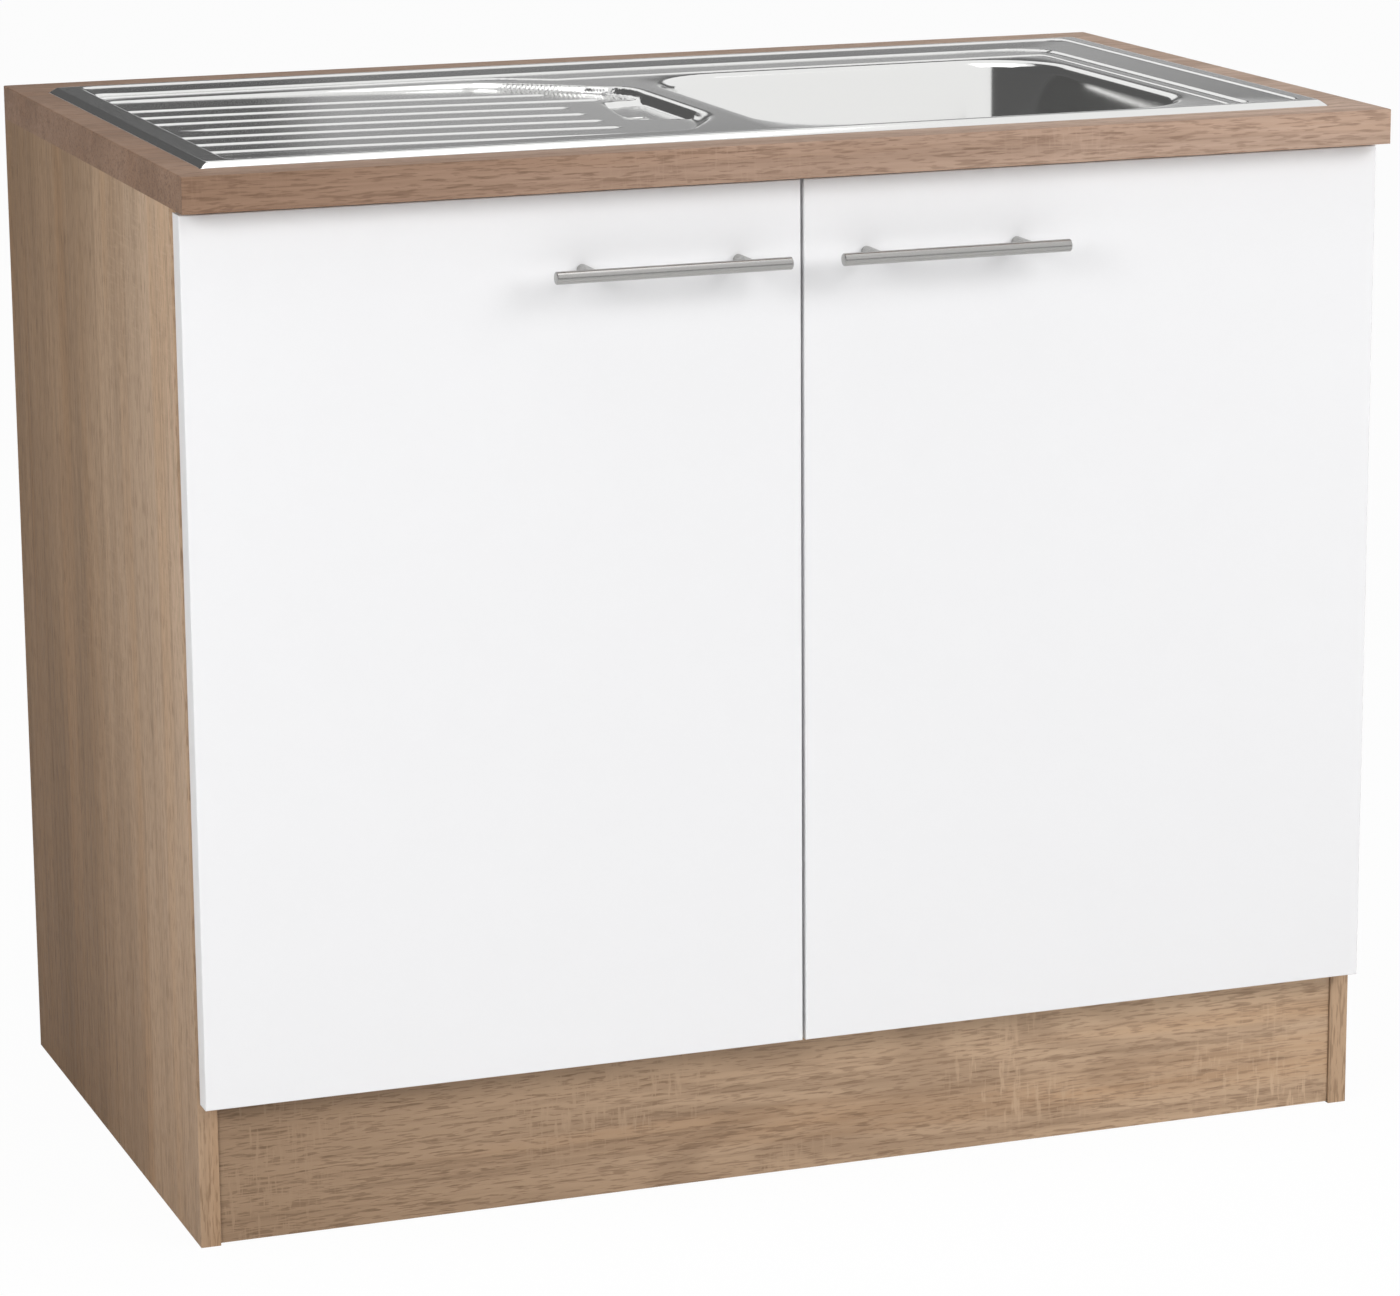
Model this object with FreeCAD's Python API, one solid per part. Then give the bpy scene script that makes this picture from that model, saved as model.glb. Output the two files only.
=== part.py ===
import FreeCAD, Part
import math
import os

Vector = FreeCAD.Vector
UP = Vector(0, 0, 1)

# All sizes are millimetres. x runs left to right, y from the worktop's front edge to the back and
# z up from the floor; save() moves every piece to the middle of the unit's own box.

# Unit
WIDTH = 1000.0
WORKTOP_DEPTH = 600.0
HEIGHT = 850.0
WORKTOP_THICK = 28.0
EDGE_BREAK = 0.6
BOARD = 16.0
CARCASS_FRONT = 40.0
CARCASS_TOP = HEIGHT - WORKTOP_THICK
BOTTOM_PANEL_Z = 122.0
PLINTH_FRONT = 42.0
PLINTH_GAP = 0.5
PLINTH_FEET = 1.5
FRONT_RAIL_Z = (700.0, 750.0)
REAR_RAILS_Z = {"rear_rail_upper": (742.0, 822.0), "rear_rail_lower": (138.0, 218.0)}

# Board joints: a cam and bolt with a dowel beside it
CAM_RADIUS, CAM_DEEP, CAM_SETBACK = 7.5, 12.5, 34.0
CAM_SLOT = (9.0, 1.6, 2.0)
BOLT_RADIUS, BOLT_IN_SIDE = 3.0, 11.0
DOWEL_RADIUS, DOWEL_LONG, DOWEL_IN_SIDE = 4.0, 30.0, 11.0
FIT = 0.05
PANEL_JOINTS_Y = ((100.0, 132.0), (540.0, 508.0))
FRONT_RAIL_JOINT_Z = (715.0, 735.0)
REAR_RAIL_JOINT = (20.0, 60.0)

# Corner blocks, brackets and their screws
BLOCK = 30.0
BLOCK_X = (30.0, WIDTH / 2 - BLOCK / 2)
BRACKET_LEG, BRACKET_THICK, BRACKET_WIDE = 16.0, 2.0, 20.0
SIDE_BRACKET_Y = 120.0
RAIL_BRACKET_X = 250.0
SCREW_RADIUS, SCREW_HEAD_RADIUS, SCREW_HEAD, SCREW_GRIP = 2.0, 3.8, 2.2, 11.0

# Doors
DOOR_THICK = 18.0
DOOR_GAP = 2.0
DOOR_OUTER, DOOR_INNER = 2.0, 498.5
DOOR_Z = (118.5, 818.5)
DOOR_ROUND = 1.0
DOOR_BACK = CARCASS_FRONT - DOOR_GAP
DOOR_FRONT = DOOR_BACK - DOOR_THICK
BUMPER_RADIUS, BUMPER_THICK = 4.5, 1.8
BUMPERS = ((486.0, 130.0), (486.0, 742.0))

# Handles
BAR_RADIUS, BAR_LONG, BAR_STANDOFF = 5.0, 192.0, 32.0
BAR_FROM_EDGE, BAR_FROM_TOP, BAR_CHAMFER = 20.0, 60.0, 0.5
POST_RADIUS, POST_SPACING = 4.5, 128.0
HANDLE_SCREW_RADIUS, HANDLE_SCREW_HEAD, HANDLE_SCREW_GRIP = 2.0, (4.0, 1.8), 12.0

# Concealed hinges: pivots in plan, pin at B and D in the cup, A and C in the arm
HINGE_HEIGHTS = (252.5, 684.5)
PIVOT_A = Vector(33.15, 62.60)
PIVOT_B = Vector(11.00, 36.80)
PIVOT_C = Vector(46.00, 41.00)
PIVOT_D = Vector(18.47, 36.80)
LINK_KNEE = Vector(17.60, 38.00)
CUP_X, CUP_RADIUS, CUP_DEEP, CUP_WALL, CUP_FLOOR = 24.5, 17.45, 12.45, 0.95, 0.8
FLANGE_THICK, FLANGE_ROUND, FLANGE_X, CUP_SCREW_SPREAD = 1.0, 6.0, 30.5, 24.0
CUP_SCREW = (1.75, 3.2, 0.8, 11.0)
EAR_Z, EAR_END_X, EAR_DEEP, EAR_PROUD = (6.6, 8.1), 21.0, 3.0, 0.7
PIN_RADIUS, STUB_START = 1.2, 4.0
OUTER_LINK_Z, OUTER_LINK_HALF, OUTER_EYE_A, OUTER_EYE_B = 3.5, 1.0, 2.5, 2.2
INNER_LINK_Z, INNER_LINK_HALF, INNER_BARREL = (4.2, 6.2), 0.6, 2.5
HOOK_RADIUS = PIN_RADIUS + 0.2 + INNER_LINK_HALF
PIN_FIT = 0.04
CHEEK_Z, CHEEK_TIP = (8.3, 9.5), 2.5
WEB_OFFSET, WEB_HALF = 3.6, 0.6
ARM_TOP_X, ARM_FOOT_X, ARM_Y = 32.4, 19.4, (72.0, 76.0, 104.0)
PLATE_Y, PLATE_THICK, PLATE_WIDE, PLATE_WING, PLATE_SCREW_Z = 77.0, 3.0, 10.0, 22.0, 16.0
SADDLE_HALF, SADDLE_Y = 7.9, (62.0, 80.0, 103.0)
ARM_SCREW_Y, ARM_SCREW = 93.0, (2.0, 3.6, 2.6, 9.0)

# Sink pressing
GAUGE = 0.8
SINK_X, SINK_Y = (24.0, 964.0), (38.0, 538.0)
SINK_CORNER = 7.0
RIM_HIGH, RIM_BEVEL = 4.5, 6.0
CUTOUT_X, CUTOUT_Y, CUTOUT_CORNER = (34.0, 954.0), (48.0, 528.0), 15.0
SEAL_INSET = (6.5, 9.9)
LEDGE = ((47.0, 50.0), (946.0, 50.0), (946.0, 527.0), (47.0, 527.0))
TERRACE = ((48.5, 60.0), (907.0, 60.0), (907.0, 462.0), (880.0, 487.0), (48.5, 487.0))
DECK = ((50.0, 62.0), (893.0, 62.0), (893.0, 447.0), (50.0, 447.0))
APRON = ((50.0, 400.0), (521.0, 400.0), (388.0, 481.0), (50.0, 481.0))
LEDGE_DROP, TERRACE_DROP, DECK_DROP = 2.0, 4.2, 5.6
LEDGE_CORNER, DECK_CORNER, STEP_DRAFT = 15.0, 12.0, 0.8
RECESS = ((51.5, 100.0), (440.0, 100.0), (487.0, 174.0), (487.0, 367.0), (378.0, 462.0), (51.5, 462.0))
RECESS_CORNER, RECESS_DRAFT = 12.0, 0.5
FLOOR_LEFT, FLOOR_RIGHT = 846.3, 843.3
RIB_WIDE, RIB_HIGH = 10.0, 1.8
RIB_FIRST_Y, RIB_PITCH = 389.0, 43.7
RIB_ENDS = (413.0, 446.0, 403.0, 403.0, 403.0, 403.0, 443.0)
RIB_STARTS = (51.5, 51.5, 51.5, 82.0, 51.5, 51.5, 51.5)
PIT = ((424.0, 214.0), (482.0, 205.0), (482.0, 335.0), (438.0, 322.0))
PIT_FLOOR, PIT_CORNER = 841.5, 8.0
SLOT_X, SLOT_YS, SLOT_LONG, SLOT_WIDE = 443.0, (250.0, 237.0, 224.0), 17.0, 3.5
BOWL_X, BOWL_Y, BOWL_CORNER = (505.0, 882.0), (79.0, 436.0), 75.0
BOWL_DEEP, BOWL_ROLL, BOWL_BOTTOM_ROUND, BOWL_SLOPE = 147.6, 8.0, 40.0, 86.0
ROLL_STEPS, BOTTOM_STEPS = 4, 6
SEAT_RADIUS, SEAT_DEEP, WASTE_HOLE = 58.0, 3.0, 45.0

# Sink clips: (x, y, turn in degrees, height of the face they hold, set-in from the cut edge)
RIM_TOP = HEIGHT + RIM_HIGH
LEDGE_TOP = RIM_TOP - LEDGE_DROP
TERRACE_TOP = RIM_TOP - TERRACE_DROP
DECK_TOP = RIM_TOP - DECK_DROP
UNDER_LEDGE = LEDGE_TOP - GAUGE
UNDER_RIM = RIM_TOP - GAUGE
CLIPS = (
    (120.0, CUTOUT_Y[0], 0, UNDER_LEDGE, 2.5),
    (440.0, CUTOUT_Y[0], 0, UNDER_LEDGE, 2.5),
    (880.0, CUTOUT_Y[0], 0, UNDER_LEDGE, 2.5),
    (120.0, CUTOUT_Y[1], 180, UNDER_LEDGE, 1.6),
    (470.0, CUTOUT_Y[1], 180, UNDER_LEDGE, 1.6),
    (880.0, CUTOUT_Y[1], 180, UNDER_LEDGE, 1.6),
    (CUTOUT_X[0], 283.0, -90, UNDER_RIM, 1.5),
    (CUTOUT_X[1], 283.0, 90, UNDER_LEDGE, 10.0),
)
LUG_WIDE, LUG_DEEP, LUG_THICK, LUG_FOOT, LUG_FOOT_Z = 24.0, 8.0, 1.5, 14.0, 806.0
CLAW_REACH, CLAW_WIDE, CLAW_THICK, CLAW_Z = 7.0, 16.0, 2.0, 796.0
CLIP_SCREW_RADIUS, CLIP_SCREW_HEAD, CLIP_SCREW_IN, CLIP_SCREW_PAST = 2.5, (4.5, 3.5), 8.0, 5.0

# Waste and overflow
WASTE_X, WASTE_Y = sum(BOWL_X) / 2, sum(BOWL_Y) / 2
SEAT_Z = DECK_TOP - BOWL_DEEP - SEAT_DEEP
FLANGE_RIM, FLANGE_CUP, FLANGE_WALL, FLANGE_DEEP = 57.0, 43.0, 1.0, 36.0
HUB_RADIUS, HUB_HIGH = 9.0, 3.0
DRAIN_HOLES, DRAIN_RADIUS, DRAIN_RING = 8, 8.0, 26.0
BASKET_RIM, BASKET_CUP, BASKET_WALL, BASKET_DEEP, BASKET_GAP = 47.0, 40.0, 0.8, 24.0, 0.1
BASKET_HOLES, BASKET_HOLE, BASKET_RINGS = 12, 2.5, (18.0, 30.0)
STEM_RADIUS, STEM_TOP, KNOB = 3.0, 4.0, ((3.0, 0.0), (9.0, 2.0), (10.0, 5.0), (8.0, 7.0), (0.0, 8.0))
GASKET_RADII, GASKET_THICK = (46.5, 56.0), 2.5
HOUSING_INNER, HOUSING_WALL, HOUSING_RIM, HOUSING_RIM_THICK = 49.0, 2.5, 57.0, 4.0
HOUSING_BOTTOM, HOUSING_CONE, SPIGOT_RADIUS, SPIGOT_BORE, SPIGOT_LONG = 62.0, 12.0, 23.9, 20.5, 28.0
BRIDGE_WIDE, BRIDGE_Z, BRIDGE_BOSS = 6.0, (48.0, 58.0), 7.5
WASTE_SCREW = (3.0, 5.5, 3.5)
ELBOW_X, ELBOW_Y, ELBOW_HIGH, ELBOW_WALL = (430.5, 455.5), (216.5, 257.5), 16.0, 2.0
OVERFLOW_GASKET, OVERFLOW_GASKET_WIDE = 2.0, 3.0
PIPE_X, PIPE_Y, PIPE_RADIUS, PIPE_BORE, PIPE_BEND, PIPE_Z = 443.0, 237.0, 10.0, 8.5, 30.0, 676.0
SOCKET_RADIUS, SOCKET_LONG, SOCKET_IN, PIPE_FIT = 13.0, 22.0, 15.0, 0.1
INLET_END, NUT_RADIUS, NUT_OVER, NUT_PAST, NUT_FLATS = 85.0, 16.5, 11.0, 6.0, 10


def box(x0, x1, y0, y1, z0, z1):
    """Block between two opposite corners."""
    return Part.makeBox(x1 - x0, y1 - y0, z1 - z0, Vector(x0, y0, z0))


def rod(radius, start, end):
    """Round bar between two points."""
    start, end = Vector(*start), Vector(*end)
    return Part.makeCylinder(radius, (end - start).Length, start, end - start)


def turned(profile, x, y):
    """Solid turned about the upright line through (x, y) from (radius, height) corners."""
    corners = [Vector(radius, 0, z) for radius, z in profile]
    face = Part.Face(Part.makePolygon(corners + corners[:1]))
    solid = face.revolve(Vector(), UP, 360)
    solid.translate(Vector(x, y, 0))
    return solid


def prism(points, z0, z1):
    """Upright prism over an outline in plan."""
    corners = [Vector(x, y, z0) for x, y in points]
    return Part.Face(Part.makePolygon(corners + corners[:1])).extrude(UP * (z1 - z0))


def fused(solids):
    """One solid from touching ones."""
    return solids[0].multiFuse(solids[1:]).removeSplitter()


def group(solids):
    """Separate solids kept in one node."""
    return Part.makeCompound([solid for shape in solids for solid in shape.Solids])


def mirrored(shape):
    """The same piece on the other side of the unit."""
    return shape.mirror(Vector(WIDTH / 2, 0, 0), Vector(1, 0, 0))


def both_sides(shape):
    """A left-hand piece with its right-hand copy."""
    return group([shape, mirrored(shape)])


def save(name, shape):
    """Write one node, with the unit's bottom centre as the origin."""
    bar_front = DOOR_FRONT - BAR_STANDOFF - BAR_RADIUS
    moved = shape.copy()
    moved.translate(Vector(-WIDTH / 2, -(bar_front + WORKTOP_DEPTH) / 2, 0))
    moved.exportStep("parts/" + name + ".step")


def corner_rays(points, i):
    """Corner i of an outline, the directions to its neighbours and half the angle between them."""
    corner = Vector(*points[i])
    before = (Vector(*points[i - 1]) - corner).normalize()
    after = (Vector(*points[(i + 1) % len(points)]) - corner).normalize()
    return corner, before, after, before.getAngle(after) / 2


def grown(points, distance):
    """Convex outline with every side moved outwards."""
    result = []
    for i in range(len(points)):
        corner, before, after, half = corner_rays(points, i)
        moved = corner - (before + after).normalize() * (distance / math.sin(half))
        result.append((moved.x, moved.y))
    return result


def outline(points, radius, z):
    """Closed wire round a convex outline with rounded corners."""
    lift = UP * z
    arcs = []
    for i in range(len(points)):
        corner, before, after, half = corner_rays(points, i)
        inward = (before + after).normalize()
        reach = radius / math.tan(half)
        middle = corner + inward * (radius / math.sin(half) - radius)
        arcs.append((corner + before * reach + lift, middle + lift, corner + after * reach + lift))
    edges = []
    for i, (start, middle, end) in enumerate(arcs):
        edges.append(Part.Arc(start, middle, end).toShape())
        edges.append(Part.makeLine(end, arcs[(i + 1) % len(arcs)][0]))
    return Part.Wire(edges)


def pan(points, radius, levels):
    """Solid through a rounded outline set in by given amounts at given heights."""
    wires = [outline(grown(points, -inset), radius - inset, z) for inset, z in levels]
    return Part.makeLoft(wires, True, True)


def rectangle(xs, ys):
    """Corners of a rectangle, anticlockwise."""
    return ((xs[0], ys[0]), (xs[1], ys[0]), (xs[1], ys[1]), (xs[0], ys[1]))


def strap(points, half, z0, z1):
    """Strap of even thickness bent through points in plan."""
    solids = [rod(half, (p.x, p.y, z0), (p.x, p.y, z1)) for p in points]
    for p, q in zip(points, points[1:]):
        along = (q - p).normalize()
        side = Vector(-along.y, along.x) * half
        corners = [p + side, p - side, q - side, q + side]
        solids.append(prism([(c.x, c.y) for c in corners], z0, z1))
    return fused(solids)


def at_hinges(shape):
    """A hinge piece modelled about z = 0, copied to each hinge height."""
    copies = []
    for z in HINGE_HEIGHTS:
        copies.append(shape.copy())
        copies[-1].translate(UP * z)
    return group(copies)


def screw(start, along, radius, head_radius, head, grip):
    """Pan head screw: start is under the head, along points into the work."""
    start, along = Vector(*start), Vector(*along)
    shank = Part.makeCylinder(radius, grip, start, along)
    cap = Part.makeCylinder(head_radius, head, start, along * -1)
    return shank.fuse(cap)


# Board joints
def joints(spare=0.0):
    """Left-hand cams, bolts and dowels, or their bores when spare is the fit."""
    cams, bolts, dowels = [], [], []
    cam_x = BOARD + CAM_SETBACK
    places = []
    panel_z = BOTTOM_PANEL_Z + BOARD / 2
    for cam_y, dowel_y in PANEL_JOINTS_Y:
        bore = ((cam_x, cam_y, BOTTOM_PANEL_Z - spare), (cam_x, cam_y, BOTTOM_PANEL_Z + CAM_DEEP + spare))
        places.append((bore, (cam_y, panel_z), (dowel_y, panel_z)))
    face = CARCASS_FRONT + BOARD
    cam_z, dowel_z = FRONT_RAIL_JOINT_Z
    bore = ((cam_x, face - CAM_DEEP - spare, cam_z), (cam_x, face + spare, cam_z))
    places.append((bore, (face - BOARD / 2, cam_z), (face - BOARD / 2, dowel_z)))
    face = WORKTOP_DEPTH - BOARD
    for low, _ in REAR_RAILS_Z.values():
        cam_z, dowel_z = low + REAR_RAIL_JOINT[0], low + REAR_RAIL_JOINT[1]
        bore = ((cam_x, face - spare, cam_z), (cam_x, face + CAM_DEEP + spare, cam_z))
        places.append((bore, (face + BOARD / 2, cam_z), (face + BOARD / 2, dowel_z)))
    bolt_end = cam_x - CAM_RADIUS - 2 * FIT + 2 * spare
    bolt_start = BOARD - BOLT_IN_SIDE - spare
    dowel_start = BOARD - DOWEL_IN_SIDE
    for (start, end), bolt, dowel in places:
        cams.append(rod(CAM_RADIUS + spare, start, end))
        bolts.append(rod(BOLT_RADIUS + spare, (bolt_start, *bolt), (bolt_end, *bolt)))
        start, end = (dowel_start - spare, *dowel), (dowel_start + DOWEL_LONG + spare, *dowel)
        dowels.append(rod(DOWEL_RADIUS + spare, start, end))
    return cams, bolts, dowels


def cam_discs():
    """Cams with their screwdriver slot."""
    cams = joints()[0]
    long, wide, deep = CAM_SLOT
    slotted = []
    for cam in cams:
        b = cam.BoundBox
        x, y, z = b.Center
        if b.ZLength < 2 * CAM_RADIUS - 1:
            slot = box(x - long / 2, x + long / 2, y - wide / 2, y + wide / 2, b.ZMin - deep, b.ZMin + deep)
        else:
            face = b.YMax if y < WORKTOP_DEPTH / 2 else b.YMin
            slot = box(x - long / 2, x + long / 2, face - deep, face + deep, z - wide / 2, z + wide / 2)
        slotted.append(cam.cut(slot))
    return both_sides(group(slotted))


# Brackets, blocks and screws
def blocks():
    """Wood blocks that hold the plinth under the bottom panel."""
    front = PLINTH_FRONT + BOARD
    left, centre = [box(x, x + BLOCK, front, front + BLOCK, BOTTOM_PANEL_Z - BLOCK, BOTTOM_PANEL_Z)
                    for x in BLOCK_X]
    return [left, centre, mirrored(left)]


def brackets():
    """Steel angles that hold the worktop: one on the side and one on the rear rail, left-hand."""
    top = CARCASS_TOP
    low, under = top - BRACKET_LEG, top - BRACKET_THICK
    y0, y1 = SIDE_BRACKET_Y - BRACKET_WIDE / 2, SIDE_BRACKET_Y + BRACKET_WIDE / 2
    side = fused([
        box(BOARD, BOARD + BRACKET_THICK, y0, y1, low, top),
        box(BOARD, BOARD + BRACKET_LEG, y0, y1, under, top),
    ])
    x0, x1 = RAIL_BRACKET_X - BRACKET_WIDE / 2, RAIL_BRACKET_X + BRACKET_WIDE / 2
    face = WORKTOP_DEPTH - BOARD
    rear = fused([
        box(x0, x1, face - BRACKET_THICK, face, low, top),
        box(x0, x1, face - BRACKET_LEG, face, under, top),
    ])
    return [side, rear]


def carcass_screw_places():
    """Start under the head and direction of each left-hand or central board screw."""
    places = []
    front = PLINTH_FRONT + BOARD
    for x in BLOCK_X:
        middle = x + BLOCK / 2
        places.append(((middle, front + BLOCK * 2 / 3, BOTTOM_PANEL_Z - BLOCK), (0, 0, 1), BLOCK + SCREW_GRIP))
        places.append(((middle, front + BLOCK, BOTTOM_PANEL_Z - BLOCK / 2), (0, -1, 0), BLOCK + SCREW_GRIP))
    low, under = CARCASS_TOP - BRACKET_LEG / 2, CARCASS_TOP - BRACKET_THICK
    out = BRACKET_LEG * 2 / 3
    grip = BRACKET_THICK + SCREW_GRIP
    face = WORKTOP_DEPTH - BOARD
    side, width = BOARD, BRACKET_WIDE / 4
    places.append(((side + BRACKET_THICK, SIDE_BRACKET_Y - width, low), (-1, 0, 0), grip))
    places.append(((side + out, SIDE_BRACKET_Y + width, under), (0, 0, 1), grip))
    places.append(((RAIL_BRACKET_X - width, face - BRACKET_THICK, low), (0, 1, 0), grip))
    places.append(((RAIL_BRACKET_X + width, face - out, under), (0, 0, 1), grip))
    for hinge_z in HINGE_HEIGHTS:
        for z in (hinge_z - PLATE_SCREW_Z, hinge_z + PLATE_SCREW_Z):
            places.append(((side + PLATE_THICK, PLATE_Y, z), (-1, 0, 0), PLATE_THICK + SCREW_GRIP))
    return places


def carcass_screws(spare=0.0):
    """Every board screw, or its hole when spare is the fit."""
    solids = []
    for start, along, grip in carcass_screw_places():
        solids.append(screw(start, along, SCREW_RADIUS + spare, SCREW_HEAD_RADIUS, SCREW_HEAD, grip + spare))
        if abs(start[0] - WIDTH / 2) > BLOCK:
            solids.append(mirrored(solids[-1]))
    return solids


# Sink pressing
def floor_height(x):
    """Height of the sloping drainer floor."""
    left, right = RECESS[0][0], RECESS[2][0]
    return FLOOR_LEFT + (FLOOR_RIGHT - FLOOR_LEFT) * (x - left) / (right - left)


def above_floor(drop):
    """Space above the sloping drainer floor."""
    x0, x1 = RECESS[0][0] - RECESS_CORNER, RECESS[2][0] + RECESS_CORNER
    corners = [
        Vector(x0, 0, floor_height(x0) - drop),
        Vector(x1, 0, floor_height(x1) - drop),
        Vector(x1, 0, RIM_TOP + RIM_HIGH),
        Vector(x0, 0, RIM_TOP + RIM_HIGH),
    ]
    return Part.Face(Part.makePolygon(corners + corners[:1])).extrude(Vector(0, WORKTOP_DEPTH, 0))


def ribs(inset):
    """The round ribs, or the hollows under them when inset is the gauge."""
    arc = (RIB_WIDE ** 2 / 4 + RIB_HIGH ** 2) / (2 * RIB_HIGH)
    solids = []
    for i, (first, last) in enumerate(zip(RIB_STARTS, RIB_ENDS)):
        y = RIB_FIRST_Y - i * RIB_PITCH
        end = last - RIB_WIDE / 2
        start = first + RIB_WIDE / 2 if first > RECESS[0][0] else first + inset
        axis = [(x, y, floor_height(x) + RIB_HIGH - arc) for x in (start, end)]
        solid = rod(arc - inset, *axis).fuse(Part.makeSphere(arc - inset, Vector(*axis[1])))
        if first > RECESS[0][0]:
            solid = solid.fuse(Part.makeSphere(arc - inset, Vector(*axis[0])))
        solids.append(solid)
    return solids


def bowl_levels(offset):
    """(inset, height) levels down the bowl's face, or its back when offset is the gauge."""
    slope = math.radians(BOWL_SLOPE)
    angles = [slope * i / ROLL_STEPS for i in range(ROLL_STEPS + 1)]
    points = [(BOWL_ROLL * math.sin(a), BOWL_ROLL * (1 - math.cos(a)), a) for a in angles]
    wall_deep = BOWL_DEEP - BOWL_BOTTOM_ROUND * (1 - math.cos(slope)) - points[-1][1]
    centre = points[-1][0] + wall_deep / math.tan(slope) + BOWL_BOTTOM_ROUND * math.sin(slope)
    for i in range(BOTTOM_STEPS + 1):
        a = slope * (1 - i / BOTTOM_STEPS)
        inset = centre - BOWL_BOTTOM_ROUND * math.sin(a)
        points.append((inset, BOWL_DEEP - BOWL_BOTTOM_ROUND * (1 - math.cos(a)), a))
    levels = [(0.0, DECK_TOP if offset else DECK_TOP + 1)]
    for inset, deep, a in points:
        levels.append((inset - offset * math.sin(a), DECK_TOP - deep - offset * math.cos(a)))
    return levels


def slot(x, y, z0, z1):
    """Round-ended overflow slot."""
    half, reach = SLOT_WIDE / 2, (SLOT_LONG - SLOT_WIDE) / 2
    ends = [Vector(x - reach, y), Vector(x + reach, y)]
    return strap(ends, half, z0, z1)


def sink_pressing():
    """One sheet: bevelled rim, ledge, terrace and deck in steps, ribbed drainer with its pit, and bowl."""
    sink = rectangle(SINK_X, SINK_Y)
    run = RIM_BEVEL / RIM_HIGH
    lip = GAUGE * math.hypot(RIM_BEVEL, RIM_HIGH) / RIM_HIGH
    outer = [
        pan(sink, SINK_CORNER, ((0, HEIGHT), (RIM_BEVEL, RIM_TOP))),
        pan(grown(LEDGE, GAUGE), LEDGE_CORNER, ((0, UNDER_LEDGE), (0, RIM_TOP))),
        pan(grown(TERRACE, GAUGE), DECK_CORNER, ((0, TERRACE_TOP - GAUGE), (0, LEDGE_TOP))),
        pan(grown(DECK, GAUGE), DECK_CORNER, ((0, DECK_TOP - GAUGE), (0, TERRACE_TOP))),
        pan(grown(APRON, GAUGE), DECK_CORNER, ((0, DECK_TOP - GAUGE), (0, TERRACE_TOP))),
        pan(grown(PIT, GAUGE), PIT_CORNER, ((STEP_DRAFT, PIT_FLOOR - GAUGE), (0, FLOOR_RIGHT))),
        pan(rectangle(BOWL_X, BOWL_Y), BOWL_CORNER, bowl_levels(GAUGE)),
        turned(((0, SEAT_Z - GAUGE), (SEAT_RADIUS + GAUGE, SEAT_Z - GAUGE),
                (SEAT_RADIUS + GAUGE, SEAT_Z + SEAT_DEEP), (0, SEAT_Z + SEAT_DEEP)), WASTE_X, WASTE_Y),
    ]
    recess_wall = ((RECESS_DRAFT * (TERRACE_TOP - PIT_FLOOR), PIT_FLOOR), (0, TERRACE_TOP))
    tub = pan(grown(RECESS, GAUGE), RECESS_CORNER, recess_wall)
    outer.append(tub.common(above_floor(GAUGE)))
    dome = pan(sink, SINK_CORNER, ((lip, HEIGHT), (lip + (RIM_HIGH - GAUGE) * run, UNDER_RIM)))
    outer[0] = outer[0].cut(dome)

    mouth = pan(RECESS, RECESS_CORNER, recess_wall)
    solid_ribs, hollow_ribs = ribs(0.0), ribs(GAUGE)
    inner = [
        pan(LEDGE, LEDGE_CORNER, ((STEP_DRAFT, LEDGE_TOP), (0, RIM_TOP + GAUGE))),
        pan(TERRACE, DECK_CORNER, ((STEP_DRAFT, TERRACE_TOP), (0, LEDGE_TOP + GAUGE))),
        pan(DECK, DECK_CORNER, ((STEP_DRAFT, DECK_TOP), (0, TERRACE_TOP + GAUGE))),
        pan(APRON, DECK_CORNER, ((STEP_DRAFT, DECK_TOP), (0, TERRACE_TOP + GAUGE))),
        pan(PIT, PIT_CORNER, ((STEP_DRAFT, PIT_FLOOR), (0, FLOOR_RIGHT + GAUGE))),
        pan(rectangle(BOWL_X, BOWL_Y), BOWL_CORNER, bowl_levels(0.0)),
        mouth.common(above_floor(0.0)).cut(fused(solid_ribs)),
        rod(SEAT_RADIUS, (WASTE_X, WASTE_Y, SEAT_Z), (WASTE_X, WASTE_Y, SEAT_Z + 2 * SEAT_DEEP)),
        rod(WASTE_HOLE, (WASTE_X, WASTE_Y, SEAT_Z - SEAT_DEEP), (WASTE_X, WASTE_Y, SEAT_Z + SEAT_DEEP)),
    ]
    for y in SLOT_YS:
        inner.append(slot(SLOT_X, y, PIT_FLOOR - 2 * GAUGE, PIT_FLOOR + GAUGE))
    sheet = outer[0].multiFuse(outer[1:])
    for void in inner + hollow_ribs:
        sheet = sheet.cut(void)
    return sheet.removeSplitter()


def sink_seal():
    """Foam strip between the rim and the worktop."""
    sink = rectangle(SINK_X, SINK_Y)
    near, far = SEAL_INSET
    strip = pan(sink, SINK_CORNER + far, ((near, HEIGHT), (near, UNDER_RIM)))
    return strip.cut(pan(sink, SINK_CORNER + far, ((far, HEIGHT - 1), (far, RIM_TOP))))


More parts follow.
